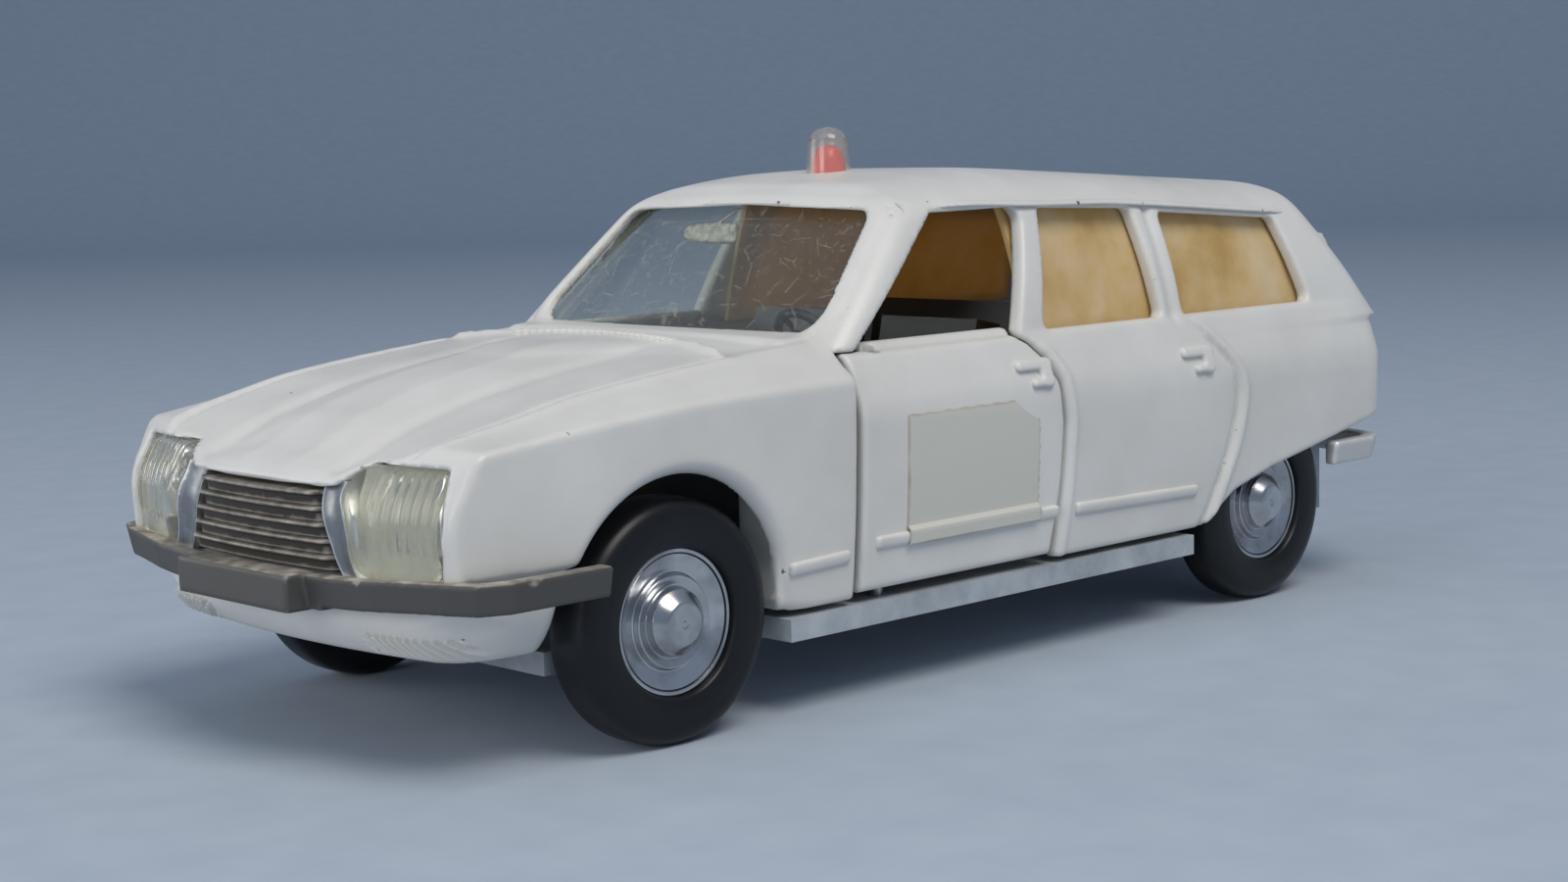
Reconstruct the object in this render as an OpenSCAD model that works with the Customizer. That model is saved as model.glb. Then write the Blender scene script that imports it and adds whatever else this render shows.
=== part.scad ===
// Die-cast toy estate car, about 1:43, with opening front doors and tailgate
// X points forward, Y to the car's left, Z up; the origin is on the floor under the middle

/* [Overall] */
// Length over the bumpers
car_l = 96; // [92:0.5:102]
// Width of the body over the crease
body_w = 35.8; // [34.6:0.1:37.4]
// Height of the roof above the floor
roof_z = 32.9; // [31.9:0.1:34.5]
// Distance between the axles
wheelbase = 59.3; // [57:0.1:61]
// Distance from the front axle to the front of the plate block
front_overhang = 19.3; // [18.6:0.1:20.6]

/* [Body casting] */
// Thickness of the casting
wall = 1.1; // [0.9:0.05:1.3]
// Thickness left on an edge that a door swings behind
thin_edge = 0.55; // [0.4:0.05:0.7]
// Height of the body's bottom edge
sill_z = 6.6; // [6.4:0.1:7.2]
// Height of the crease along the doors
crease_z = 18; // [17:0.1:19]
// Height of the fender's crease where it meets the door
fender_crease_z = 20.4; // [19.4:0.1:20.8]
// Height of the window sills
belt_z = 21.8; // [21.4:0.1:22.4]
// Height of the rain gutters above the front doors
gutter_z = 30.8; // [30:0.1:31.4]
// Fall of the rain gutters towards the tail
gutter_fall = 1.8; // [1.4:0.1:2.6]
// Width over the rain gutters
roof_w = 27; // [26:0.1:28]
// How far the sill lies inside the crease
sill_in = 0.7; // [0.4:0.1:1]
// How far the window sill lies inside the crease
belt_in = 1.6; // [1.2:0.1:2]
// Height of the hood's front edge in the middle
nose_z = 16.6; // [16.2:0.1:17.2]
// Height of the hood in front of the windscreen
cowl_z = 23.0; // [22.4:0.1:23.6]
// Height of the bottom of the front apron
apron_z = 6.6; // [6.4:0.1:7.6]

/* [Openings] */
// Distance from the front axle back to the door's front edge
door_set = 14.5; // [14:0.1:15.2]
// Length of the front door opening
door_l = 20.2; // [19:0.1:21]
// Shut line around the doors
door_gap = 0.3; // [0.25:0.05:0.4]
// Shut line at a hinged edge
hinge_gap = 0.45; // [0.4:0.05:0.6]
// Gap between a tyre and its wheel arch
arch_gap = 0.85; // [0.7:0.05:1.1]
// Clearance between pieces that sit in one another
seat_gap = 0.1; // [0.05:0.01:0.15]
// Radius of the window corners
window_r = 0.9; // [0.6:0.1:1.2]

/* [Wheels] */
// Diameter of the tyres
tyre_d = 14.7; // [14.2:0.1:15.2]
// Width of a tyre
tyre_w = 3.7; // [3.3:0.1:4]
// Diameter of a hub's rim
hub_d = 8.8; // [8.2:0.1:9.6]
// How far a hub's rim lies inside the tyre's outer face
hub_in = 0.55; // [0.3:0.05:0.8]
// How far the hub cap stands out of the rim
cap_out = 0.9; // [0.6:0.1:1.1]
// Diameter of the steel axles
axle_d = 1.5; // [1.3:0.1:1.8]
// Radial clearance of the axles in their bearings
axle_play = 0.05; // [0.03:0.01:0.09]
// Distance between the outer faces of the front tyres
front_track = 34.6; // [34.2:0.1:34.8]
// Distance between the outer faces of the rear tyres
rear_track = 33.4; // [32.8:0.1:33.4]

/* [Base and hinges] */
// Height of the baseplate's underside above the floor
base_z = 4.8; // [4.5:0.1:5]
// Thickness of the baseplate
base_t = 1.4; // [1.2:0.1:1.5]
// Diameter of the hinge pins
pin_d = 1; // [0.8:0.1:1.1]
// Radial clearance of the hinges on their pins
pin_play = 0.05; // [0.03:0.01:0.09]
// Wall of a hinge barrel round its pin
barrel_t = 0.5; // [0.4:0.05:0.55]
// Diameter of the rivets
rivet_d = 2; // [1.6:0.1:2.4]

/* [Trim] */
// Width over the front bumper's ends
bumper_w = 38.8; // [36.6:0.1:39.6]
// Height of the bumpers' top edge
bumper_z = 11.5; // [11.2:0.1:11.7]
// Height of the bumper bars
bumper_h = 1.8; // [1.5:0.1:2]
// Depth of the bumper bars
bumper_t = 1.2; // [1:0.1:1.4]
// Width of the plate block
plate_w = 11.6; // [10:0.1:12.6]
// Height of the plate block
plate_h = 2.2; // [1.8:0.1:2.4]
// Thickness of the clear mouldings
glass_t = 0.7; // [0.5:0.05:0.9]
// Thickness of the paper labels
label_t = 0.08; // [0.05:0.01:0.12]
// Diameter of the roof beacon's foot
beacon_d = 3.1; // [2.6:0.1:3.6]
// Height of the roof beacon
beacon_h = 3.3; // [2.8:0.1:3.8]

/* [Hidden] */
$fn = 48;

// Axles and places along the car
front_x = car_l / 2;
front_axle_x = front_x - front_overhang;
rear_axle_x = front_axle_x - wheelbase;
axle_z = tyre_d / 2;
side_y = body_w / 2;
belt_y = side_y - belt_in;
gutter_y = roof_w / 2;
nose_set = 1.5;
nose_x = front_x - nose_set;
lamp_x = nose_x - 2.6;
lamp_y = side_y - 1.25;
tail_x = -front_x + 1.3;
door_front_x = front_axle_x - door_set;
door_rear_x = door_front_x - door_l;
screen_base_x = door_front_x - 0.5;
screen_base_z = belt_z + 1.2;
screen_top_x = screen_base_x - 8.4;
gate_low_x = tail_x + 1;
gate_low_z = belt_z - 0.2;
gate_top_x = gate_low_x + 7.2;
gate_top_z = roof_z - 1.5;
gutter_rear_z = gutter_z - gutter_fall;
gutter_front_z = gutter_z - 0.4;
screen_top_z = gutter_front_z + 0.6;
beacon_x = screen_top_x - 6.9;
roof_mid_x = (screen_top_x + gate_top_x) / 2;
bow = 0.8;
eps = 0.01;
big = 200;

// Smooth curve through a short list of points, in order of their first value
function chord(p, i, j) = (p[j][1] - p[i][1]) / (p[j][0] - p[i][0]);
function grade(p, i) = chord(p, max(i - 1, 0), min(i + 1, len(p) - 1));
function span_at(p, x, i = 0) = i >= len(p) - 2 || x < p[i + 1][0] ? i : span_at(p, x, i + 1);
function curve(p, x) =
    let (i = span_at(p, x), h = p[i + 1][0] - p[i][0], u = min(1, max(0, (x - p[i][0]) / h)))
    let (a = grade(p, i) * h, b = grade(p, i + 1) * h, rise = p[i + 1][1] - p[i][1])
    p[i][1] + u * (a + u * (3 * rise - 2 * a - b + u * (a + b - 2 * rise)));
function mix(a, b, t) = a + (b - a) * t;

// Half width of the body at the crease, drawn in towards the nose and the tail
tail_r = 3.6;
nose_in = side_y - lamp_y;
function taper(x) =
    x > front_axle_x ? nose_in * pow((x - front_axle_x) / (lamp_x - front_axle_x), 2)
    : x < rear_axle_x ? 0.7 * pow((rear_axle_x - x) / (rear_axle_x - tail_x), 2) : 0;
function tail_round(x) =
    let (d = max(0, tail_r - (x - tail_x)))
    tail_r - sqrt(max(0, tail_r * tail_r - d * d));
function half_w(x, inset) =
    x > lamp_x - inset ? (lamp_y - inset) * sqrt(max(0.004, (nose_x - inset - x) / (nose_x - lamp_x)))
    : side_y - taper(x) - tail_round(x) - inset;

// Heights along the hood, the fenders and the crease
ridge_y = 0.8;
lamp_top_z = nose_z + 1.2;
hood_ridge = [[door_front_x - 1, cowl_z - 0.25], [front_axle_x - 6, cowl_z - 0.95],
    [front_axle_x + 5, cowl_z - 2.15], [lamp_x - 6, mix(lamp_top_z, cowl_z, 0.42)],
    [lamp_x, lamp_top_z + 0.8], [nose_x, lamp_top_z - 0.2]];
hood_mid = [[door_front_x - 1, cowl_z + 0.15], [front_axle_x - 5, cowl_z - 0.7],
    [front_axle_x + 5, cowl_z - 2.15], [lamp_x - 4, mix(nose_z, cowl_z, 0.4)],
    [lamp_x, nose_z + 0.6], [nose_x, nose_z]];
fender_crease = [[door_front_x, fender_crease_z], [front_axle_x, fender_crease_z - 0.4],
    [lamp_x, lamp_top_z + 0.7], [nose_x, lamp_top_z - 0.5]];
function crease_at(x) = x > door_front_x ? curve(fender_crease, x) : crease_z;

// Half section of the lower body at x, from the bottom edge over the side to the middle
function half_section(x, inset) =
    let (hood = x > door_front_x, w = half_w(x, inset), k = hood ? min(1, pow((w + inset) / lamp_y, 2)) : 1)
    let (mid = hood ? curve(hood_mid, x) : belt_z, zt = mid - inset)
    let (zc = mix(mid - 0.8, crease_at(x), k) - inset * 0.3)
    let (ridge = hood ? curve(hood_ridge, x) : belt_z)
    let (yb = hood ? w * ridge_y : w - belt_in, zb = mix(mid, ridge, k) - inset)
    let (z0 = inset > 0 ? 0 : sill_z - 3, zs = sill_z)
    [[w - sill_in * 1.3, z0], [w - sill_in * 0.35, mix(zs, zc, 0.35)],
     [w - sill_in * 0.06, mix(zs, zc, 0.75)], [w, zc - 0.5], [w - 0.12, zc + 0.15],
     [mix(w, yb, 0.55), mix(zc, zb, 0.62)], [yb, zb],
     [yb * 0.84, mix(zb, zt, 0.25)], [yb * 0.6, mix(zb, zt, 0.6)], [yb * 0.3, mix(zb, zt, 0.9)]];
function section(x, inset) =
    let (h = half_section(x, inset), n = len(h))
    concat([for (p = h) [x, p[0], p[1]]], [for (i = [n - 1:-1:0]) [x, -h[i][0], h[i][1]]]);

// Solid through a list of rings that have the same number of points
module loft(rings) {
    n = len(rings[0]);
    m = len(rings);
    sides = [for (i = [0:m - 2], j = [0:n - 1])
        each let (k = (j + 1) % n, a = i * n, b = a + n) [[a + j, b + j, b + k], [a + j, b + k, a + k]]];
    first = [for (j = [0:n - 1]) j];
    last = [for (j = [n - 1:-1:0]) (m - 1) * n + j];
    polyhedron([for (r = rings) each r], concat(sides, [first, last]));
}

// Stations of the lower body, closer together round the tail and the nose
tail_steps = [0.02, 0.12, 0.35, 0.7, 1.2, 1.9, 2.8, 3.6];
nose_steps = [0.97, 0.85, 0.65, 0.4, 0.15];
function stations(inset) = concat(
    [for (d = tail_steps) tail_x + inset + d * (1 - inset / 20)],
    [mix(tail_x, rear_axle_x, 0.5), rear_axle_x, door_front_x - eps, door_front_x + eps],
    [for (t = [0.3, 0.6, 1]) mix(door_front_x, front_axle_x, t)],
    [for (t = [0.25, 0.5, 0.75, 1]) mix(front_axle_x, lamp_x - inset, t)],
    [for (i = [len(nose_steps) - 1:-1:0]) nose_x - inset - (nose_x - lamp_x) * (1 - nose_steps[i])]);
module lower_form(inset) {
    loft([for (x = stations(inset)) section(x, inset)]);
}

// Slopes of the windscreen and the tailgate, and the roof's height
screen_slope = (screen_top_x - screen_base_x) / (screen_top_z - screen_base_z);
gate_slope = (gate_top_x - gate_low_x) / (gate_top_z - gate_low_z);
function bow_at(y) = bow * (1 - pow(y / belt_y, 2));
function screen_x(z, y) = screen_base_x + (z - screen_base_z) * screen_slope + bow_at(y);
function gate_x(z, y) = gate_low_x + (z - gate_low_z) * gate_slope - bow_at(y);
roof_rear_z = roof_z - 1.9;
roof_mid = [[gate_top_x - 3, roof_rear_z], [gate_top_x + 3, roof_rear_z + 0.35], [roof_mid_x, roof_z - 0.45],
    [beacon_x - 6, roof_z], [beacon_x, roof_z - 0.1], [screen_top_x - 3.5, roof_z - 0.4],
    [screen_top_x + bow, screen_top_z + 0.85]];
gutter = [[gate_top_x - 4, gutter_rear_z - 0.2], [gate_top_x + 2, gutter_rear_z],
    [roof_mid_x, gutter_z - gutter_fall * 0.25], [beacon_x - 6, gutter_z - gutter_fall * 0.14],
    [screen_top_x - 5, gutter_z], [screen_top_x, gutter_front_z]];
roof_crown = 5;
function crown_at(y) = 1 - pow(abs(y) / gutter_y, roof_crown);
function roof_at(x, y) = mix(curve(gutter, x), curve(roof_mid, x), crown_at(y));
function rear_edge_z(y) = mix(gutter_rear_z, roof_rear_z, crown_at(y));
function front_edge_z(y) = gutter_front_z + 1.5 * crown_at(y);

// Half ring round the cabin: front edge, corner, side, rear corner, rear edge
pillar_r = 1.6;
edge_steps = [0, 0.3, 0.6, 0.85, 1];
side_steps = [0.03, 0.2, 0.4, 0.6, 0.8, 0.97];
function bend(a, b, c, t) = a * (1 - t) * (1 - t) + b * 2 * t * (1 - t) + c * t * t;
function cabin_half(w, front, rear) =
    let (yr = w - pillar_r, f = front(yr), r = rear(yr), fc = front(w), rc = rear(w))
    concat(
        [for (s = edge_steps) [front(yr * s), yr * s]],
        [for (t = [0.3, 0.6, 0.85]) bend([f, yr], [fc, w], [fc - pillar_r, w], t)],
        [for (s = side_steps) [mix(fc - pillar_r, rc + pillar_r, s), w]],
        [for (t = [0.15, 0.4, 0.7]) bend([rc + pillar_r, w], [rc, w], [r, yr], t)],
        [for (i = [len(edge_steps) - 1:-1:0]) [rear(yr * edge_steps[i]), yr * edge_steps[i]]]);
cabin_z = belt_z - 0.8;
low_ring = cabin_half(belt_y + 0.15, function(y) screen_x(cabin_z, y), function(y) gate_x(cabin_z, y));
top_ring = cabin_half(gutter_y, function(y) screen_x(front_edge_z(y), y),
    function(y) gate_x(rear_edge_z(y), y));

// Draws a plan point in towards the cabin's middle by the wall
cabin_half_l = (screen_base_x - gate_low_x) / 2;
function draw_in(p, inset, w) =
    [roof_mid_x + (p[0] - roof_mid_x) * (1 - 1.35 * inset / cabin_half_l), p[1] * (1 - 1.06 * inset / w)];
function other_side(half) = [for (i = [len(half) - 2:-1:1]) [half[i][0], -half[i][1], half[i][2]]];
function full_ring(half) = concat(half, other_side(half));
function cabin_ring(t, inset) =
    full_ring([for (i = [0:len(low_ring) - 1])
        let (a = draw_in(low_ring[i], inset, belt_y), b = draw_in(top_ring[i], inset, gutter_y))
        let (zb = roof_at(top_ring[i][0], top_ring[i][1]) - inset, p = mix(a, b, t))
        [p[0], p[1] + 0.35 * sin(180 * t) * p[1] / belt_y, mix(cabin_z, zb, t)]]);
function roof_ring(k, inset) =
    full_ring([for (q = top_ring)
        let (b = draw_in(q, inset, gutter_y), p = [roof_mid_x + (b[0] - roof_mid_x) * k, b[1] * k])
        [p[0], p[1], roof_at(roof_mid_x + (q[0] - roof_mid_x) * k, q[1] * k) - inset]]);
module cabin_form(inset) {
    foot = [for (p = cabin_ring(0, inset)) [p[0], p[1], cabin_z - (inset > 0 ? 3 : 0)]];
    walls = [for (t = [0.35, 0.7, 1]) cabin_ring(t, inset)];
    cap = [for (k = [0.97, 0.92, 0.84, 0.7, 0.45, 0.12]) roof_ring(k, inset)];
    base = inset > 0 ? [foot, cabin_ring(0, inset)] : [foot];
    loft(concat(base, walls, cap));
}
module outer_form(inset) {
    lower_form(inset);
    cabin_form(inset);
}
module both_sides() {
    children();
    mirror([0, 1, 0])
        children();
}

// Turns a side view drawing into a block that runs across the car
module across(y0, y1) {
    translate([0, y1, 0])
        rotate([90, 0, 0])
            linear_extrude(y1 - y0)
                children();
}
// Turns a front view drawing into a block that runs along the car
module along(x0, x1) {
    translate([x0, 0, 0])
        rotate([90, 0, 90])
            linear_extrude(x1 - x0)
                children();
}
module round_corners(r) {
    offset(r)
        offset(-r)
            children();
}

// Side view outlines
door_window_low_x = door_front_x - 1.5;
door_window_top_x = screen_top_x - 2.5;
b_pillar_x = door_front_x - 16.9;
b_pillar_lean = 3.5;
pillar_w = 2.75;
c_pillar_x = b_pillar_x - pillar_w - 13.15;
c_pillar_w = 2.35;
quarter_l = 15.95;
d_pillar_x = c_pillar_x - c_pillar_w - quarter_l;
window_low_z = belt_z + 0.15;
module door_window_outline() {
    round_corners(window_r)
        polygon([[door_window_low_x, belt_z - 1.5], [door_window_low_x, window_low_z],
            [door_window_top_x, gutter_z - 0.75], [b_pillar_x - b_pillar_lean, gutter_z - 0.6],
            [b_pillar_x, window_low_z], [b_pillar_x, belt_z - 1.5]]);
}
module rear_window_outlines() {
    front_x0 = b_pillar_x - pillar_w;
    quarter_x0 = c_pillar_x - c_pillar_w;
    round_corners(window_r)
        polygon([[front_x0, window_low_z], [front_x0 - b_pillar_lean + 0.95, gutter_z - 0.8],
            [c_pillar_x + 0.55, gutter_z - gutter_fall * 0.63], [c_pillar_x, window_low_z]]);
    round_corners(window_r)
        polygon([[quarter_x0, window_low_z], [quarter_x0 - 0.15, gutter_z - gutter_fall * 0.83],
            [d_pillar_x + 1.5, gutter_rear_z - 0.7], [d_pillar_x, window_low_z]]);
}
door_round_l = 3.3;
door_round_h = 3.2;
door_lean = 0.35;
corner_gap = 1.7;
module door_outline(gap, front_gap, top, low) {
    edge_x = door_rear_x + gap;
    round_x = door_rear_x + door_round_l + gap * corner_gap;
    polygon([[door_front_x - front_gap, low], [door_front_x - front_gap, top],
        [round_x, top], [round_x - door_round_l * 0.48, belt_z - door_round_h * 0.375],
        [edge_x + door_lean, belt_z - door_round_h],
        [edge_x, belt_z - 6], [edge_x + door_lean, belt_z - 10.6], [edge_x + 3 * door_lean, low]]);
}
module quarter_cut_outline() {
    front = rear_axle_x + 8.6;
    tail_low_z = sill_z + 5.9;
    polygon([[front, 0], [front + 0.4, sill_z - 0.3], [front - 3.5, sill_z + 2.2],
        [rear_axle_x + 0.4, sill_z + 3.5], [rear_axle_x - 6.4, sill_z + 4.7],
        [tail_x + 2.7, tail_low_z], [tail_x - 2, tail_low_z], [tail_x - 2, 0]]);
}

// Front view outline of the grille and lamp opening
grille_low_z = bumper_z + 0.3;
lamp_in_y = 8.8;
module face_outline(gap) {
    side = lamp_y - 0.7 - gap;
    half = [[0, grille_low_z + gap], [side + 0.2, grille_low_z + gap], [side, lamp_top_z - gap],
        [lamp_in_y + 0.6, lamp_top_z - gap], [lamp_in_y - 1.1, nose_z - 0.4 - gap],
        [0, nose_z - 0.35 - gap]];
    polygon(half);
    mirror([1, 0])
        polygon(half);
}

// Hinge axes: the doors stand on pins near their front edges, the tailgate hangs under the roof
door_axis_x = door_front_x - 3.5;
door_axis_y = side_y - 2.3;
gate_len = sqrt(pow(gate_top_x - gate_low_x, 2) + pow(gate_top_z - gate_low_z, 2));
gate_angle = atan2(gate_top_x - gate_low_x, gate_top_z - gate_low_z);
swing_r = norm([door_front_x - door_axis_x, side_y - door_axis_y]);
gate_axis_down = 4.4;
gate_axis_in = 1.2;

// Places its children on the tailgate's slope: x to the car's left, y up the slope, z out of the car
module on_gate() {
    translate([gate_low_x - bow, 0, gate_low_z])
        rotate([0, gate_angle, 0])
            rotate([90, 0, -90])
                mirror([1, 0, 0])
                    children();
}
gate_top_y = gutter_y - 1.9;
gate_low_y = belt_y - 2.1;
gate_top = gate_len - 1.1;
gate_drop = 2.4;
gate_swing_gap = 0.1;
lip_low = 0.1;
module gate_outline(gap, side_gap) {
    top = gate_top - gap;
    low = gap - lip_low;
    half = [[0, low], [gate_low_y - side_gap, low], [gate_top_y - side_gap, top - gate_drop],
        [gate_top_y * 0.7, top - 0.9], [0, top]];
    polygon(half);
    mirror([1, 0])
        polygon(half);
}
module gate_window_outline(grow) {
    offset(grow)
        round_corners(window_r)
            polygon([[-gate_low_y + 2, 2], [-gate_top_y + 2, gate_top - gate_drop - 1.8],
                [0, gate_top - 2.2], [gate_top_y - 2, gate_top - gate_drop - 1.8], [gate_low_y - 2, 2]]);
}

// Body casting
bumper_gap = 0.55;
bumper_over = 0.15;
bumper_set = 0.9;
apron_front_in = bumper_set + bumper_t - nose_set + bumper_gap - 0.2;
apron_side_in = side_y - bumper_w / 2 + bumper_t + bumper_gap;
apron_in = max(apron_front_in, apron_side_in);
post_wall = 0.8;
post_r = rivet_d / 2 + post_wall;
front_post_x = front_axle_x + 4.8;
rear_post_x = mix(tail_x, rear_axle_x, 0.34);
base_top_z = base_z + base_t;
rear_post_z = sill_z + 9;
post_tie_h = 2.2;
beacon_foot_z = roof_z - 0.35;
strip_z = sill_z + 3;
strip_h = 0.5;
handle_l = 2.6;
handle_h = 0.9;
handle_r = 0.32;
rib_r = 0.25;
rib_l = 1.4;
rib_pitch = 1.3;
module side_relief() {
    strip_y = side_y - sill_in * 0.6;
    for (s = [[front_axle_x - arch_r - 1.2, door_front_x + 0.6], [door_rear_x - 0.8, door_rear_x - 15.4]])
        hull()
            for (x = s)
                translate([x, strip_y, strip_z])
                    sphere(strip_h, $fn = 12);
    for (z = [0, handle_h])
        hull()
            for (d = [0, handle_l])
                translate([c_pillar_x - 0.85 - d, belt_y + 0.85 + z * 0.1, crease_z + 1.6 - z])
                    sphere(handle_r, $fn = 8);
}
arch_r = tyre_d / 2 + arch_gap;
cowl_x = screen_base_x + 4.4;
module cowl_ribs() {
    for (i = [-5:5])
        hull()
            for (d = [0, rib_l])
                translate([cowl_x + d, i * rib_pitch, curve(hood_mid, cowl_x) - rib_r * 0.7])
                    sphere(rib_r, $fn = 8);
}
module screen_outline() {
    low_y = belt_y - 2.2;
    top_y = gutter_y - 1.75;
    side_top_z = screen_top_z - 0.6;
    polygon([[-low_y, screen_base_z], [-top_y, side_top_z], [0, screen_top_z - 0.1],
        [top_y, side_top_z], [low_y, screen_base_z]]);
}
module body_cuts() {
    across(-big, big)
        door_window_outline();
    across(-big, big)
        rear_window_outlines();
    across(-big, big)
        door_outline(0, 0, belt_z + 0.08, sill_z - 1);
    across(-big, big)
        quarter_cut_outline();
    across(-big, big)
        translate([front_axle_x + 0.2, axle_z + 0.5])
            circle(arch_r);
    across(-big, big)
        translate([front_axle_x - arch_r + 0.4, 0])
            square([arch_r * 2 - 0.2, axle_z]);
    translate([-big, -big, -big])
        cube([big * 2, big * 2, big + sill_z]);
    translate([front_axle_x, -big, -big])
        cube([big, big * 2, big + apron_z]);
    along(lamp_x - 3, front_x + 5)
        face_outline(0);
    along(screen_top_x - 4, screen_base_x + 1.2)
        round_corners(window_r)
            screen_outline();
    on_gate()
        translate([0, 0, -3])
            linear_extrude(8)
                gate_outline(0, 0);
    both_sides()
        intersection() {
            lower_form(thin_edge);
            translate([door_axis_x, door_axis_y, sill_z])
                cylinder(h = belt_z - sill_z - 0.6, r = swing_r);
        }
    intersection() {
        cabin_form(thin_edge);
        gate_hinge()
            cylinder(h = gate_top_y * 2 + 0.7, r = norm([gate_axis_down, gate_axis_in]), center = true);
    }
    both_sides()
        gate_pin();
    both_sides()
        translate([rear_axle_x, 0, axle_z])
            rotate([-90, 0, 0])
                cylinder(h = rear_track / 2 + 0.3, r = tyre_d / 2 + 0.5);
    translate([beacon_x, 0, beacon_foot_z])
        cylinder(h = beacon_h, d = beacon_d + 2 * seat_gap);
    both_sides()
        lamp_pocket(0);
    difference() {
        apron_block(bumper_z + bumper_over);
        lower_form(apron_in);
    }
}
// Part of the nose below the grille, where the casting is drawn in behind the bumper
module apron_block(top) {
    translate([front_axle_x, -big, 0])
        cube([big, big * 2, top]);
}
module shell_room() {
    difference() {
        outer_form(wall);
        apron_block(bumper_z + bumper_over + wall);
    }
    intersection() {
        lower_form(apron_in + wall);
        apron_block(bumper_z + bumper_over + wall + eps);
    }
}
tail_lamp_out = 0.4;
tail_lamp_sunk = 0.9;
tail_lamp_in = 5.6;
tail_lamp_up = 7.6;
tail_lamp_w = 2.2;
tail_lamp_h = 5;
gate_pin_out = gutter_y + 0.6;
gate_pin_in = gate_top_y - 1.1;
module gate_hinge() {
    on_gate()
        translate([0, gate_top - gate_axis_down, -gate_axis_in])
            rotate([0, 90, 0])
                children();
}
module lamp_pocket(gap) {
    translate([tail_x - tail_lamp_out, side_y - tail_lamp_in + gap, sill_z + tail_lamp_up + gap])
        cube([tail_lamp_out + tail_lamp_sunk - gap, tail_lamp_w - 2 * gap, tail_lamp_h - 2 * gap]);
}
module body_shell() {
    color("ivory") {
        difference() {
            outer_form(0);
            shell_room();
            body_cuts();
        }
        both_sides()
            side_relief();
        cowl_ribs();
        for (x = [front_post_x, rear_post_x])
            let (post_top_z = (x > 0 ? curve(hood_mid, x) : rear_post_z) - wall / 2)
            translate([x, 0, base_top_z])
                difference() {
                    cylinder(h = post_top_z - base_top_z, r = post_r);
                    translate([0, 0, -eps])
                        cylinder(h = rivet_grip + wall, d = rivet_d);
                }
        translate([tail_x + wall / 2, -post_r, rear_post_z - wall / 2 - post_tie_h])
            cube([rear_post_x - tail_x, post_r * 2, post_tie_h]);
    }
}

// Baseplate with sill strips, axle bearings and hinge pin seats
base_front_x = front_post_x + post_r + 0.4;
base_rear_x = tail_x + bumper_t + 0.95;
sill_strip_in = 0.5;
base_y = side_y - sill_strip_in;
wheel_gap = 0.4;
tongue_in = 0.7;
front_tongue_y = front_track / 2 - tyre_w - wheel_gap;
rear_tongue_y = rear_track / 2 - tyre_w - wheel_gap - tongue_in;
sill_front_x = front_axle_x - tyre_d / 2 - 1.4;
sill_rear_x = rear_axle_x + tyre_d / 2 + 2.8;
bearing_w = 2;
pin_floor = 0.3;
sunk = 0.4;
module bearing(x, track) {
    inner_y = track / 2 - tyre_w - wheel_gap - bearing_w;
    both_sides()
        translate([x - axle_d, inner_y, base_top_z - sunk])
            cube([axle_d * 2, bearing_w, axle_z + axle_d - base_top_z + sunk]);
}
module baseplate() {
    color("dimgray")
        difference() {
            union() {
                translate([base_rear_x, -rear_tongue_y, base_z])
                    cube([sill_front_x - base_rear_x, rear_tongue_y * 2, base_t]);
                translate([sill_rear_x, -front_tongue_y, base_z])
                    cube([base_front_x - sill_rear_x, front_tongue_y * 2, base_t]);
                translate([sill_rear_x, -base_y, base_z])
                    cube([sill_front_x - sill_rear_x, base_y * 2, base_t]);
                bearing(front_axle_x, front_track);
                bearing(rear_axle_x, rear_track);
                translate([base_rear_x, -rear_tongue_y, base_z])
                    cube([base_t, rear_tongue_y * 2, bumper_z - base_z]);
            }
            for (x = [front_axle_x, rear_axle_x])
                translate([x, 0, axle_z])
                    rotate([90, 0, 0])
                        cylinder(h = big, d = axle_d + 2 * axle_play, center = true);
            for (s = [-1, 1])
                translate([door_axis_x, s * door_axis_y, base_z + pin_floor])
                    cylinder(h = base_t, d = pin_d);
            for (x = [front_post_x, rear_post_x])
                translate([x, 0, base_z - eps]) {
                    cylinder(h = base_t + 2 * eps, d = rivet_d);
                    cylinder(h = rivet_head_h + head_sunk + eps, d = rivet_head_d + 2 * seat_gap);
                }
        }
}
rivet_head_d = rivet_d + 1.2;
rivet_head_h = 0.5;
head_sunk = 0.1;
rivet_grip = 2;
module baseplate_rivets() {
    color("silver")
        for (x = [front_post_x, rear_post_x])
            translate([x, 0, base_z + head_sunk]) {
                cylinder(h = rivet_head_h, d = rivet_head_d);
                cylinder(h = base_t + rivet_grip, d = rivet_d);
            }
}

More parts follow.
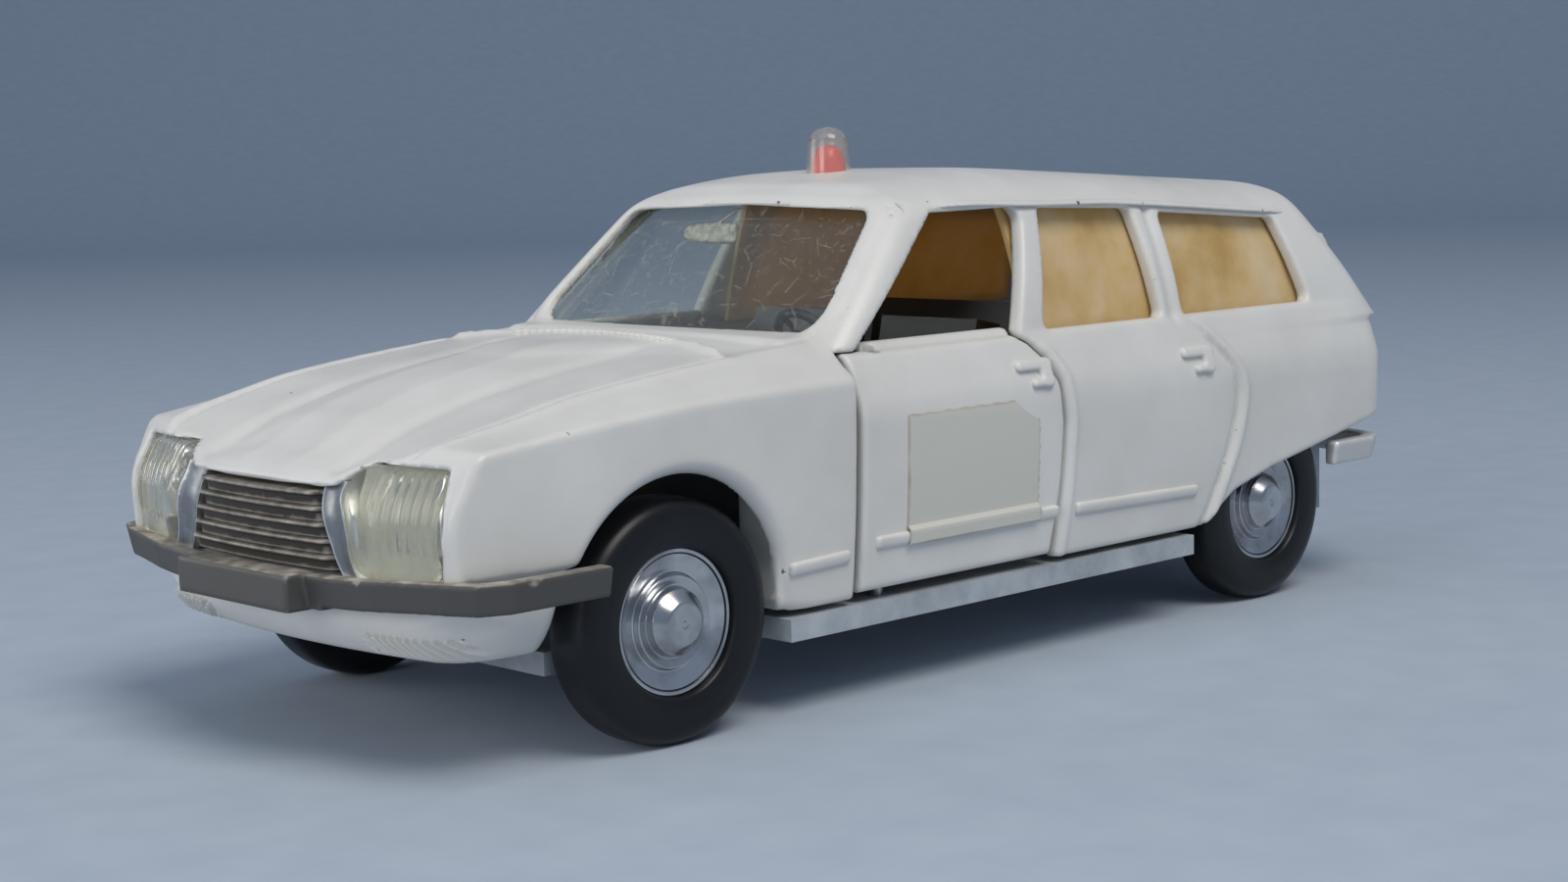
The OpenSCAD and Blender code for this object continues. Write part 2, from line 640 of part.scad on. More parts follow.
// Black moulding with the floor, the seats and an ear over each door hinge
tub_front_x = door_front_x + 1.6;
tub_y = rear_tongue_y;
tub_side_gap = 2.6;
cabin_y = side_y - wall - tub_side_gap;
floor_t = 1;
seat_z = base_top_z + 7;
seat_top_z = belt_z + 1.5;
seat_l = 8;
seat_w = 9;
seat_y = 6.4;
seat_back_t = 2.4;
seat_back_low = 0.6;
seat_lean = 12;
bench_in = 1.5;
front_seat_x = door_rear_x + 3;
rear_seat_x = rear_axle_x + 13;
bulkhead_x = rear_seat_x - 4;
cargo_z = axle_z + axle_d + 0.8;
cargo_x = rear_post_x + post_r + 0.3;
ear_z = base_top_z + 8.4;
ear_t = 1.2;
ear_d = pin_d + 0.8;
ear_l = 2.4;
ear_post_l = 1.6;
module seat(x, y, w) {
    translate([x, y - w / 2, base_top_z + floor_t - eps])
        cube([seat_l, w, seat_z - base_top_z - floor_t]);
    translate([x, y - w / 2, seat_z - seat_back_low])
        rotate([0, -seat_lean, 0])
            translate([-seat_back_t * 0.85, 0, 0])
                cube([seat_back_t, w, seat_top_z - seat_z]);
}
module interior_tub() {
    color([0.08, 0.08, 0.08])
        difference() {
            union() {
                translate([bulkhead_x, -cabin_y, base_top_z])
                    cube([tub_front_x - bulkhead_x, cabin_y * 2, floor_t]);
                translate([tub_front_x - floor_t, -cabin_y, base_top_z])
                    cube([floor_t, cabin_y * 2, crease_z - base_top_z]);
                for (s = [-1, 1])
                    seat(front_seat_x, s * seat_y, seat_w);
                seat(rear_seat_x, 0, (cabin_y - bench_in) * 2);
                translate([bulkhead_x, -cabin_y, base_top_z])
                    cube([floor_t, cabin_y * 2, cargo_z - base_top_z + floor_t]);
                translate([cargo_x, -tub_y, cargo_z])
                    cube([bulkhead_x + floor_t - cargo_x, tub_y * 2, floor_t]);
                for (s = [-1, 1])
                    hinge_ear(s);
            }
            for (s = [-1, 1])
                translate([door_axis_x, s * door_axis_y, ear_z - eps])
                    cylinder(h = ear_t + 2 * eps, d = pin_d);
            door_swing(door_axis_x + ear_d / 2 + seat_gap);
        }
}
module hinge_ear(s) {
    reach = door_axis_y - cabin_y + ear_t;
    translate([door_axis_x, s * door_axis_y, ear_z])
        cylinder(h = ear_t, d = ear_d);
    translate([door_axis_x - ear_l, s * (door_axis_y - reach / 2) - reach / 2, ear_z])
        cube([ear_l, reach, ear_t]);
    translate([door_axis_x - ear_l, s * (cabin_y - ear_t / 2) - ear_t / 2, base_top_z + floor_t / 2])
        cube([ear_post_l, ear_t, ear_z - base_top_z]);
}

// Room behind the fenders for the leading edges of the opened doors
module door_swing(start) {
    both_sides()
        intersection() {
            translate([door_axis_x, door_axis_y, 0])
                cylinder(h = belt_z + 1, r = swing_r);
            translate([start, 0, 0])
                cube(big);
        }
}
dash_y = belt_y - 2.9;
dash_x = tub_front_x - 1.2;
dash_l = 6.4;
dash_top_l = 4.3;
dash_top_z = belt_z + 0.6;
module dashboard() {
    color([0.06, 0.06, 0.06])
        difference() {
            across(-dash_y, dash_y)
                polygon([[dash_x, crease_z], [dash_x, belt_z - 1.7], [dash_x - dash_top_l, dash_top_z],
                    [dash_x - dash_l + 0.4, dash_top_z - 0.4], [dash_x - dash_l, crease_z + 1],
                    [dash_x - dash_top_l, crease_z]]);
            door_swing(tail_x);
        }
}
wheel_r = 2.6;
wheel_y = 6.4;
column_l = 1.5;
wheel_rim_r = 0.32;
wheel_spoke_d = 0.4;
column_d = 0.9;
wheel_lean = 60;
module steering_wheel() {
    color([0.05, 0.05, 0.05])
        translate([dash_x - 7.8, wheel_y, belt_z - 0.6])
            rotate([0, -wheel_lean, 0]) {
                rotate_extrude()
                    translate([wheel_r, 0])
                        circle(wheel_rim_r);
                for (a = [90, 210, 330])
                    rotate([0, 90, a])
                        cylinder(h = wheel_r, d = wheel_spoke_d);
                translate([0, 0, -column_l])
                    cylinder(h = column_l + wheel_rim_r, d = column_d);
            }
}

// Clear mouldings and curtains that follow the inside of the cabin
module cabin_skin(x0, x1, z0, z1, t) {
    intersection() {
        difference() {
            cabin_form(wall + seat_gap);
            cabin_form(wall + seat_gap + t);
        }
        translate([x0, -big, z0])
            cube([x1 - x0, big * 2, z1 - z0]);
    }
}
mirror_w = 4.8;
mirror_h = 1.2;
mirror_z = screen_top_z - 1.7;
mirror_in = wall * 1.5 + glass_t * 1.8;
mirror_y = -3.5;
pane_low_y = belt_y - 1.5;
pane_top_y = gutter_y - 1.2;
curtain_t = 0.5;
curtain_front_x = b_pillar_x - pillar_w + 0.3;
module windscreen() {
    color([0.8, 0.85, 0.85, 0.4]) {
        intersection() {
            cabin_skin(-big, big, belt_z + 0.3, screen_top_z + 0.2, glass_t);
            along(screen_top_x - 6, screen_base_x + 4)
                polygon([[-pane_low_y, belt_z], [-pane_top_y, screen_top_z], [pane_top_y, screen_top_z],
                    [pane_low_y, belt_z]]);
            across(-big, big)
                polygon([[screen_base_x - 3.5, belt_z], [screen_top_x - 3, screen_top_z + 2],
                    [front_x, roof_z], [front_x, belt_z]]);
        }
        translate([screen_x(mirror_z, mirror_y) - mirror_in, mirror_y - mirror_w / 2, mirror_z - mirror_h])
            cube([glass_t * 1.6, mirror_w, mirror_h]);
    }
}
module curtain_left() {
    color("peru")
        curtain();
}
module curtain_right() {
    color("peru")
        mirror([0, 1, 0])
            curtain();
}
module curtain() {
    intersection() {
        cabin_skin(d_pillar_x - 0.9, curtain_front_x, belt_z - 0.6, gutter_z - 0.6, curtain_t);
        translate([-big, 4, 0])
            cube([big * 2, big, big]);
        across(0, big)
            polygon([[front_x, 0], [front_x, gutter_front_z], [b_pillar_x - 6, gutter_front_z],
                [d_pillar_x, gutter_rear_z + 0.3], [tail_x, gutter_rear_z], [tail_x, 0]]);
    }
}
window_sunk = 0.3;
module tailgate_window() {
    color([0.8, 0.85, 0.85, 0.4])
        on_gate()
            translate([0, 0, -wall + seat_gap])
                linear_extrude(wall - window_sunk - seat_gap)
                    gate_window_outline(-seat_gap);
}

// Grille with lamp pans, and the lenses in front of the pans, all following the nose in plan
slat_n = 6;
lens_t = 1.3;
pan_t = 0.9;
lens_in_y = lamp_in_y + 0.7;
face_y = lamp_y - 0.7 - seat_gap;
function nose_line(y) = nose_x - (nose_x - lamp_x) * pow(y / lamp_y, 2);
function face_top(y) =
    let (t = min(1, max(0, (abs(y) - lamp_in_y + 1.1) / 1.7)))
    mix(nose_z - 0.4, lamp_top_z, t) - seat_gap;
module nose_band(ys, low, high, front, back) {
    loft([for (y = ys)
        let (x = nose_line(y), top = high > 0 ? high : face_top(y))
        [[x - front, y, low], [x - back, y, low], [x - back, y, top], [x - front, y, top]]]);
}
module grille() {
    pan_ys = [face_y, lens_in_y - 0.1, lamp_in_y - 1.1, lamp_in_y / 2, 0];
    slat_ys = [for (t = [-1, -0.6, -0.2, 0.2, 0.6, 1]) t * (lamp_in_y - 0.4)];
    pan_front = lens_t + 2 * seat_gap;
    pitch = (nose_z - grille_low_z - 0.6) / slat_n;
    color([0.32, 0.32, 0.31]) {
        nose_band(concat([for (y = pan_ys) -y], [for (i = [len(pan_ys) - 2:-1:0]) pan_ys[i]]),
            grille_low_z + seat_gap, 0, pan_front, pan_front + pan_t);
        for (i = [0:slat_n - 1])
            let (low = grille_low_z + 0.25 + i * pitch)
                nose_band(slat_ys, low, low + pitch * 0.6, seat_gap, pan_front + pan_t / 2);
    }
}
module headlamp_lens(s) {
    ys = [for (t = [0, 0.25, 0.5, 0.75, 1]) mix(lens_in_y, face_y, t)];
    color([0.85, 0.85, 0.82, 0.5])
        mirror([0, s > 0 ? 0 : 1, 0])
            nose_band(ys, grille_low_z + seat_gap, lamp_top_z - seat_gap, seat_gap, lens_t);
}

// Bumper bars in plan, following the nose and the tail
bumper_r = 2.9;
bumper_crown = 1.9;
rear_bumper_in = 0.1;
tyre_room = 0.2;
bumper_end = bumper_w / 2 - bumper_t > front_track / 2 + tyre_room - eps ? 6.6 : tyre_d / 2 + arch_gap;
rear_bumper_end = tyre_d / 2 + tyre_room + 0.05;
function bumper_half(w, front, end) =
    let (r = bumper_r, k = front - bumper_crown)
    [[front, 0], [front - bumper_crown * 0.16, side_y * 0.36], [front - bumper_crown * 0.45, side_y * 0.64],
     [k, w - r], [k - r * 0.35, w - r * 0.3], [k - r, w], [end, w]];
module bumper(w, front, end) {
    out = bumper_half(w, front, end);
    inner = [for (i = [len(out) - 1:-1:0])
        [out[i][0] - (i < 5 ? bumper_t : 0), out[i][1] - (i > 2 ? bumper_t : 0)]];
    half = concat(out, inner);
    other_half = [for (i = [len(half) - 2:-1:1]) [half[i][0], -half[i][1]]];
    linear_extrude(bumper_h)
        polygon(concat(half, other_half));
}
module front_bumper() {
    color([0.3, 0.3, 0.29])
        translate([0, 0, bumper_z - bumper_h]) {
            bumper(bumper_w / 2, front_x - bumper_set, front_axle_x + bumper_end);
            translate([front_x - 2, -plate_w / 2, bumper_h - plate_h + 0.1])
                cube([2, plate_w, plate_h]);
        }
}
module rear_bumper() {
    color([0.5, 0.48, 0.45])
        translate([0, 0, bumper_z - bumper_h - 0.4])
            mirror([1, 0, 0])
                bumper(side_y - rear_bumper_in, front_x, -rear_axle_x + rear_bumper_end);
}
module tail_lamp(s) {
    color("firebrick")
        mirror([0, s > 0 ? 0 : 1, 0])
            lamp_pocket(seat_gap);
}

// Roof beacon: a clear dome over a red cone
beacon_foot_h = 0.55;
module beacon_dome() {
    color([0.9, 0.9, 0.9, 0.4])
        translate([beacon_x, 0, beacon_foot_z])
            rotate_extrude()
                polygon([[beacon_d * 0.36, 0], [beacon_d / 2, 0], [beacon_d / 2, beacon_foot_h],
                    [beacon_d * 0.43, beacon_foot_h + 0.2], [beacon_d * 0.42, beacon_h * 0.7],
                    [beacon_d * 0.34, beacon_h * 0.9], [beacon_d * 0.18, beacon_h],
                    [0, beacon_h], [0, beacon_h - 0.4], [beacon_d * 0.2, beacon_h * 0.82],
                    [beacon_d * 0.31, beacon_h * 0.65], [beacon_d * 0.33, beacon_foot_h + 0.15]]);
}
module beacon_core() {
    color("firebrick")
        translate([beacon_x, 0, beacon_foot_z])
            cylinder(h = beacon_h * 0.7, r1 = beacon_d * 0.31, r2 = beacon_d * 0.1);
}

// Front doors: a curved skin with a hinge barrel on its inner side
barrel_low_z = base_top_z + 1;
barrel_top_z = ear_z - 0.3;
module door_skin_profile() {
    out = half_section(0, 0);
    inner = half_section(0, wall);
    polygon(concat([for (i = [0:6]) out[i]], [for (i = [6:-1:0]) inner[i]]));
}
module door(s) {
    mirror([0, s > 0 ? 0 : 1, 0])
        difference() {
            union() {
                intersection() {
                    along(door_rear_x - 1, door_front_x + 1)
                        door_skin_profile();
                    across(0, big)
                        door_outline(door_gap, hinge_gap, belt_z, sill_z + door_gap);
                }
                translate([door_axis_x, door_axis_y, barrel_low_z])
                    cylinder(h = barrel_top_z - barrel_low_z, d = pin_d + 2 * barrel_t);
                translate([door_axis_x - 2.2, door_axis_y - 0.2, barrel_low_z])
                    cube([2.2, side_y - sill_in - wall * 0.6 - door_axis_y, barrel_top_z - barrel_low_z]);
            }
            translate([door_axis_x, door_axis_y, 0])
                cylinder(h = big, d = pin_d + 2 * pin_play);
        }
}
module left_door() {
    color("ivory")
        door(1);
}
module right_door() {
    color("ivory")
        door(-1);
}
module door_hinge_pin(s) {
    color("silver")
        translate([door_axis_x, s * door_axis_y, base_z + pin_floor])
            cylinder(h = ear_z + ear_t - base_z - pin_floor, d = pin_d);
}
label_l = 12.6;
module door_label(s) {
    color("oldlace")
        mirror([0, s > 0 ? 0 : 1, 0])
            intersection() {
                along(door_rear_x + 3.2, door_rear_x + 3.2 + label_l)
                    difference() {
                        translate([label_t, 0])
                            polygon([for (p = half_section(0, 0)) p]);
                        polygon([for (p = half_section(0, 0)) p]);
                    }
                translate([-big, 0, strip_z + 0.9])
                    cube([big * 2, big, crease_z - strip_z - 1.9]);
            }
}

// Tailgate with its hinge barrels and finger lip
barrel_l = 1.3;
lip_out = 0.9;
lip_h = 1;
lip_y = gate_low_y - 2.4 * door_gap;
module gate_pin() {
    gate_hinge()
        translate([0, 0, gate_pin_in])
            cylinder(h = gate_pin_out - gate_pin_in, d = pin_d);
}
module tailgate() {
    color("ivory")
        difference() {
            union() {
                on_gate() {
                    translate([0, 0, -wall])
                        linear_extrude(wall)
                            difference() {
                                gate_outline(door_gap, door_gap + gate_swing_gap);
                                gate_window_outline(0);
                            }
                    translate([-lip_y, door_gap - lip_low, -wall])
                        cube([2 * lip_y, lip_h, wall + lip_out]);
                    for (x = [gate_pin_in, -gate_pin_in - barrel_l])
                        translate([x, gate_top - gate_axis_down - 0.5, -gate_axis_in])
                            cube([barrel_l, 1, gate_axis_in - 0.2]);
                }
                both_sides()
                    gate_hinge()
                        translate([0, 0, gate_pin_in])
                            cylinder(h = barrel_l, d = pin_d + 2 * barrel_t);
            }
            gate_hinge()
                cylinder(h = big, d = pin_d + 2 * pin_play, center = true);
        }
}
module tailgate_hinge_pins() {
    color("silver")
        both_sides()
            gate_pin();
}

// Wheels
module spin(x) {
    translate([x, 0, axle_z])
        rotate([-90, 0, 0])
            children();
}
module axle(x, track) {
    color("silver")
        spin(x)
            cylinder(h = track - 2 * hub_in - 1.2, d = axle_d, center = true);
}
module hub(x, s, track) {
    r = hub_d / 2;
    seat = r * 0.9;
    out = track / 2 - hub_in;
    back = track / 2 - tyre_w - 0.1;
    color("gainsboro")
        spin(x)
            mirror([0, 0, s > 0 ? 0 : 1])
                rotate_extrude()
                    polygon([[axle_d / 2, back], [seat, back], [seat, out - 0.5], [r, out - 0.5], [r, out],
                        [r * 0.94, out], [r * 0.66, out - 0.4], [r * 0.63, out - 0.05], [r * 0.58, out],
                        [r * 0.49, out - 0.3], [r * 0.45, out + cap_out * 0.3], [r * 0.31, out + cap_out],
                        [0, out + cap_out], [0, out - 0.6], [axle_d / 2, out - 0.6]]);
}
module tyre(x, s, track) {
    r = tyre_d / 2;
    rim_r = hub_d / 2;
    seat = rim_r * 0.9;
    out = track / 2;
    rim = out - hub_in;
    back = out - tyre_w;
    color([0.05, 0.05, 0.05])
        spin(x)
            mirror([0, 0, s > 0 ? 0 : 1])
                rotate_extrude()
                    polygon([[seat, back + 0.2], [seat, rim - 0.5], [rim_r, rim - 0.5], [rim_r, rim],
                        [rim_r + 0.15, out - 0.15], [mix(rim_r, r, 0.35), out], [r - 0.95, out - 0.06],
                        [r - 0.4, out - 0.3], [r - 0.08, out - 0.75], [r, out - 1.2], [r, back + 0.8],
                        [r - 0.25, back + 0.3], [r - 0.8, back], [mix(rim_r, r, 0.3), back]]);
}

body_shell();
baseplate();
baseplate_rivets();
interior_tub();
dashboard();
steering_wheel();
windscreen();
curtain_left();
curtain_right();
grille();
headlamp_lens(1);  // headlamp_lens_left
headlamp_lens(-1);  // headlamp_lens_right
front_bumper();
rear_bumper();
tail_lamp(1);  // tail_lamp_left
tail_lamp(-1);  // tail_lamp_right
beacon_dome();
beacon_core();
door_hinge_pin(1);  // door_hinge_pin_left
door_hinge_pin(-1);  // door_hinge_pin_right
tailgate_hinge_pins();
left_door();
door_label(1);  // door_label_left
right_door();
door_label(-1);  // door_label_right
tailgate();
tailgate_window();
axle(front_axle_x, front_track);  // front_axle
hub(front_axle_x, 1, front_track);  // front_hub_left
hub(front_axle_x, -1, front_track);  // front_hub_right
tyre(front_axle_x, 1, front_track);  // front_tyre_left
tyre(front_axle_x, -1, front_track);  // front_tyre_right
axle(rear_axle_x, rear_track);  // rear_axle
hub(rear_axle_x, 1, rear_track);  // rear_hub_left
hub(rear_axle_x, -1, rear_track);  // rear_hub_right
tyre(rear_axle_x, 1, rear_track);  // rear_tyre_left
tyre(rear_axle_x, -1, rear_track);  // rear_tyre_right
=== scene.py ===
import functools
import math
import bmesh
import bpy
import numpy as np
from mathutils import Matrix, Vector


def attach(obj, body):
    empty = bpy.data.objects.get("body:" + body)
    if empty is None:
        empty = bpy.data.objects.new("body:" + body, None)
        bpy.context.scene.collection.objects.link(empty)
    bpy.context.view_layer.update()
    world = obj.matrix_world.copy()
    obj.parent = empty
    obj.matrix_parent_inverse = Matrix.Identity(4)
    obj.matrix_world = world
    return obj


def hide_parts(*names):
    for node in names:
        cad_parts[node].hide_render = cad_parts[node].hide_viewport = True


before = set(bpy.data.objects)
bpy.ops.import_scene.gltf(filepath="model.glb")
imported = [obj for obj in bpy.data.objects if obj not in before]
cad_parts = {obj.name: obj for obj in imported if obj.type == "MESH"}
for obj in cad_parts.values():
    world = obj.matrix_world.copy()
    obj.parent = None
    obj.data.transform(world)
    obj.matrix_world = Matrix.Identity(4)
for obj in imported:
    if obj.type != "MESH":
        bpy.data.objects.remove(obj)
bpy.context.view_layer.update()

scene = bpy.context.scene
scene.view_settings.view_transform = "Standard"

# Stage
# A pale sheet of paper swept up behind the toy, one large soft lamp above it and two weaker ones in front.
# The camera stands ahead of the car's left headlamp, a little above the roof.
MM = 0.001
PHOTO_WIDTH, FOCAL_PIXELS, SENSOR = 1600, 2511.39, 36
CAMERA_PLACE = (121.7511, 122.9404, 34.8986)
YAW, PITCH, ROLL = -2.3371, -0.1206, -0.0253
FLOOR_REACH, FLOOR_HALF, WALL_TOP, DIAGONAL = 0.75, 1.4, 1.2, 0.7071
SWEEP, SWEEP_STEPS = 0.35, 12


def linear(hex_colour):
    value = hex_colour.lstrip("#")
    parts = [int(value[i:i + 2], 16) / 255 for i in (0, 2, 4)]
    return tuple(p / 12.92 if p <= 0.04045 else ((p + 0.055) / 1.055) ** 2.4 for p in parts) + (1,)


def fill(made, **inputs):
    """Sets a node's inputs: another node's output is linked, and a constant is set on the socket itself."""
    for name, value in inputs.items():
        socket = made.inputs[int(name) if name.isdigit() else name.replace("_", " ")]
        if isinstance(value, bpy.types.NodeSocket):
            made.id_data.links.new(value, socket)
        else:
            socket.default_value = value


def node(tree, kind, **settings):
    """Adds a node. Settings that start with in_ are its inputs, and the others its properties."""
    made = tree.nodes.new(kind)
    for name, value in settings.items():
        if name.startswith("in_"):
            fill(made, **{name[3:]: value})
        else:
            setattr(made, name, value)
    return made


def ramp(tree, amount, *stops):
    """Colour that runs through stops of position and colour."""
    made = node(tree, "ShaderNodeValToRGB", in_Fac=amount)
    elements = made.color_ramp.elements
    while len(elements) < len(stops):
        elements.new(0.5)
    for element, (position, colour) in zip(elements, stops):
        element.position = position
        element.color = linear(colour)
    return made.outputs["Color"]


def new_material(name):
    material = bpy.data.materials.new(name)
    material.use_nodes = True
    tree = material.node_tree
    return material, tree, tree.nodes["Principled BSDF"]


def new_object(name, data, material=None):
    made = bpy.data.objects.new(name, data)
    scene.collection.objects.link(made)
    if material:
        made.data.materials.append(material)
    return made


camera_data = bpy.data.cameras.new("camera")
camera_data.sensor_width = SENSOR
camera_data.lens = FOCAL_PIXELS / PHOTO_WIDTH * SENSOR
camera_data.clip_start = 0.01
camera = new_object("camera", camera_data)
ahead = Vector((math.cos(YAW) * math.cos(PITCH), math.sin(YAW) * math.cos(PITCH), math.sin(PITCH)))
level = ahead.cross(Vector((0, 0, 1))).normalized()
upright = level.cross(ahead)
right = level * math.cos(ROLL) + upright * math.sin(ROLL)
above = upright * math.cos(ROLL) - level * math.sin(ROLL)
turn = Matrix((right, above, -ahead)).transposed().to_4x4()
camera.matrix_world = Matrix.Translation(Vector(CAMERA_PLACE) * MM) @ turn
scene.camera = camera

# Matt pale blue grey paper with a faint fleck.
paper, tree, shader = new_material("pale_paper")
fleck = node(tree, "ShaderNodeTexNoise", in_Scale=700, in_Detail=3)
fill(shader, Base_Color=ramp(tree, fleck.outputs["Fac"], (0, "#a9b5c2"), (1, "#b9c4cf")), Roughness=0.85)
line = [(FLOOR_REACH, 0)]
for step in range(SWEEP_STEPS + 1):
    angle = math.pi / 2 * step / SWEEP_STEPS
    line.append((-FLOOR_REACH - SWEEP * math.sin(angle), SWEEP - SWEEP * math.cos(angle)))
line.append((-FLOOR_REACH - SWEEP, WALL_TOP))
verts = [(DIAGONAL * (along - aside), DIAGONAL * (along + aside), up)
         for along, up in line for aside in (-FLOOR_HALF, FLOOR_HALF)]
faces = [(2 * i, 2 * i + 2, 2 * i + 3, 2 * i + 1) for i in range(len(line) - 1)]
mesh = bpy.data.meshes.new("floor")
mesh.from_pydata(verts, [], faces)
mesh.polygons.foreach_set("use_smooth", [True] * len(mesh.polygons))
new_object("floor", mesh, paper)

for name, place, aim, size, power, colour in (
        ("key_lamp", (0.07, 0.31, 0.49), (0, 0, 0.015), 0.34, 1.72, (1, 0.95, 0.88)),
        ("front_lamp", (0.46, 0.06, 0.17), (0.02, 0, 0.012), 0.26, 0.5, (0.97, 0.98, 1)),
        ("far_lamp", (0.32, -0.40, 0.13), (-0.01, 0, 0.02), 0.3, 0.5, (1, 0.95, 0.9))):
    lamp = bpy.data.lights.new(name, "AREA")
    lamp.shape, lamp.size, lamp.energy, lamp.color = "DISK", size, power, colour
    holder = new_object(name, lamp)
    holder.location = place
    holder.rotation_euler = (Vector(aim) - Vector(place)).to_track_quat("-Z", "Y").to_euler()
world = bpy.data.worlds.new("studio")
scene.world = world
world.use_nodes = True
fill(world.node_tree.nodes["Background"], Color=linear("#c3d5f0"), Strength=0.4)

# Body casting
# One zinc die casting holds the roof, pillars, hood, fenders, rear doors and quarters.
# It is sprayed with a thick cream enamel, which rounds every edge and fills the shut lines.
# Its form is a field of distances in millimetres, negative inside the metal, which is then skinned.
FRONT_AXLE, REAR_AXLE, AXLE_Z = 28.7, -30.6, 7.35
SIDE, BELT_Y, GUTTER_Y = 17.9, 16.3, 13.5
SILL, BELT, WALL = 6.6, 21.8, 1.1
NOSE, LAMP_X, LAMP_Y, TAIL = 46.5, 44.5, 16.65, -46.7
NOSE_LEAN = [(11.0, 0), (13.0, 0.08), (14.0, 0.14), (15.0, 0.08), (16.0, -0.22), (17.0, -0.75),
             (18.0, -1.25), (19.0, -1.9)]
DOOR_FRONT, DOOR_REAR = 14.2, -6.0
SCREEN_X, SCREEN_Z, SCREEN_SLOPE = 13.7, 23.0, -1.05
GATE_X, GATE_Z, GATE_SLOPE, BOW = -45.7, 21.6, 0.7347, 0.8
GATE_TURN = math.radians(36.3045)
DOOR_AXIS, GATE_AXIS = (10.7, 15.6), (-41.5894, 26.2572)
TAIL_LAMP_Y, TAIL_LAMP_Z = 13.4, 16.7
HOOD_RIDGE = [(13.2, 22.75), (22.7, 22.05), (33.7, 20.85), (37.9, 19.98), (43.9, 18.6), (46.5, 17.7)]
HOOD_MIDDLE = [(13.2, 23.15), (23.7, 22.3), (33.7, 20.85), (39.9, 19.16), (43.9, 17.25), (46.5, 16.6)]
FENDER_CREASE = [(14.2, 20.4), (28.7, 20.0), (43.9, 18.5), (46.5, 17.6)]
ROOF_MIDDLE = [(-41.5, 31.0), (-35.5, 31.35), (-16.6, 32.45), (-7.6, 32.9), (-1.6, 32.8), (1.8, 32.5),
               (6.1, 31.85)]
GUTTER = [(-42.5, 28.8), (-36.5, 29.0), (-16.6, 30.35), (-7.6, 30.55), (0.3, 30.8), (5.3, 30.4)]
QUARTER_SHUT = [(6.0, 21.3), (6.8, 21.7), (9.0, 22.9), (13.35, 24.8), (17.3, 25.1), (20.7, 22.2), (22, 20.4)]
DOOR_WINDOW = [(12.6, 20.3), (12.6, 21.95), (2.75, 30.1), (-6.2, 30.2), (-2.9, 21.95), (-2.7, 20.3)]
REAR_WINDOW = [(-5.45, 21.95), (-8.0, 30.05), (-18.05, 29.66), (-18.6, 21.95)]
QUARTER_WINDOW = [(-20.95, 21.95), (-21.1, 29.3), (-35.4, 28.3), (-36.9, 21.95)]
WINDOWS = ((DOOR_WINDOW, 0.8), (REAR_WINDOW, 0.6), (QUARTER_WINDOW, 0.6))
QUARTER_EDGE = [(-22, 0), (-21.6, 6.3), (-25.5, 8.8), (-30.2, 10.1), (-37, 11.3), (-44, 12.5), (-49, 12.6),
                (-49, 0)]
FRONT_ARCH = [(20.55, 9.2), (20.1, 6.9), (20.1, 0), (36.8, 0), (36.8, 7.9), (28.6, 9.2)]
FACE_HALF = [(16.0, 11.3), (16.1, 13.0), (16.2, 15.2), (15.6, 17.8), (10.2, 17.85), (9.4, 17.76), (8.7, 17.4),
             (8.05, 16.85), (7.4, 16.52), (6.5, 16.42)]
GATE_TOP = 11.06
SCREEN = [(14.05, 23.0), (11.8, 30.38), (0, 30.75), (-11.8, 30.38), (-14.05, 23.0)]
SCREEN_PANE = [(14.8, 21.8), (12.3, 31.0), (-12.3, 31.0), (-14.8, 21.8)]
CELL, PULLS, TRIANGLE_LIMIT = 0.26, 3, 190000


def curve(points, x):
    """Smooth line through points."""
    px = np.array([p[0] for p in points])
    pz = np.array([p[1] for p in points])
    low = np.clip(np.arange(len(px)) - 1, 0, None)
    high = np.clip(np.arange(len(px)) + 1, None, len(px) - 1)
    grade = (pz[high] - pz[low]) / (px[high] - px[low])
    x = np.clip(x, px[0], px[-1])
    i = np.clip(np.searchsorted(px, x) - 1, 0, len(px) - 2)
    h = px[i + 1] - px[i]
    u = (x - px[i]) / h
    a, b, rise = grade[i] * h, grade[i + 1] * h, pz[i + 1] - pz[i]
    return pz[i] + u * (a + u * (3 * rise - 2 * a - b + u * (a + b - 2 * rise)))


def ease(t):
    t = np.clip(t, 0, 1)
    return t * t * (3 - 2 * t)


def hump(t):
    """Rounded ridge, one high at nought."""
    return np.exp(-t ** 2)


def both(a, b, r):
    """Field of what lies inside both, with the edge between them rounded."""
    return np.minimum(np.maximum(a, b), -r) + np.hypot(np.maximum(a + r, 0), np.maximum(b + r, 0))


def either(a, b, r):
    return -both(-a, -b, r)


def without(a, cut, r):
    return both(a, -cut, r)


def meet(*fields):
    """Field of what lies inside all of them, with sharp edges."""
    return functools.reduce(np.maximum, fields)


def outline(u, v, points):
    """Distance from a closed outline, negative inside."""
    nearest = np.full(np.shape(u), 1e9)
    sign = np.ones(np.shape(u))
    for (ax, ay), (bx, by) in zip(points, points[-1:] + points[:-1]):
        ex, ey = bx - ax, by - ay
        wx, wy = u - ax, v - ay
        t = np.clip((wx * ex + wy * ey) / (ex * ex + ey * ey), 0, 1)
        nearest = np.minimum(nearest, (wx - ex * t) ** 2 + (wy - ey * t) ** 2)
        one, two, three = v >= ay, v < by, ex * wy > ey * wx
        sign = np.where((one & two & three) | (~one & ~two & ~three), -sign, sign)
    return sign * np.sqrt(nearest)


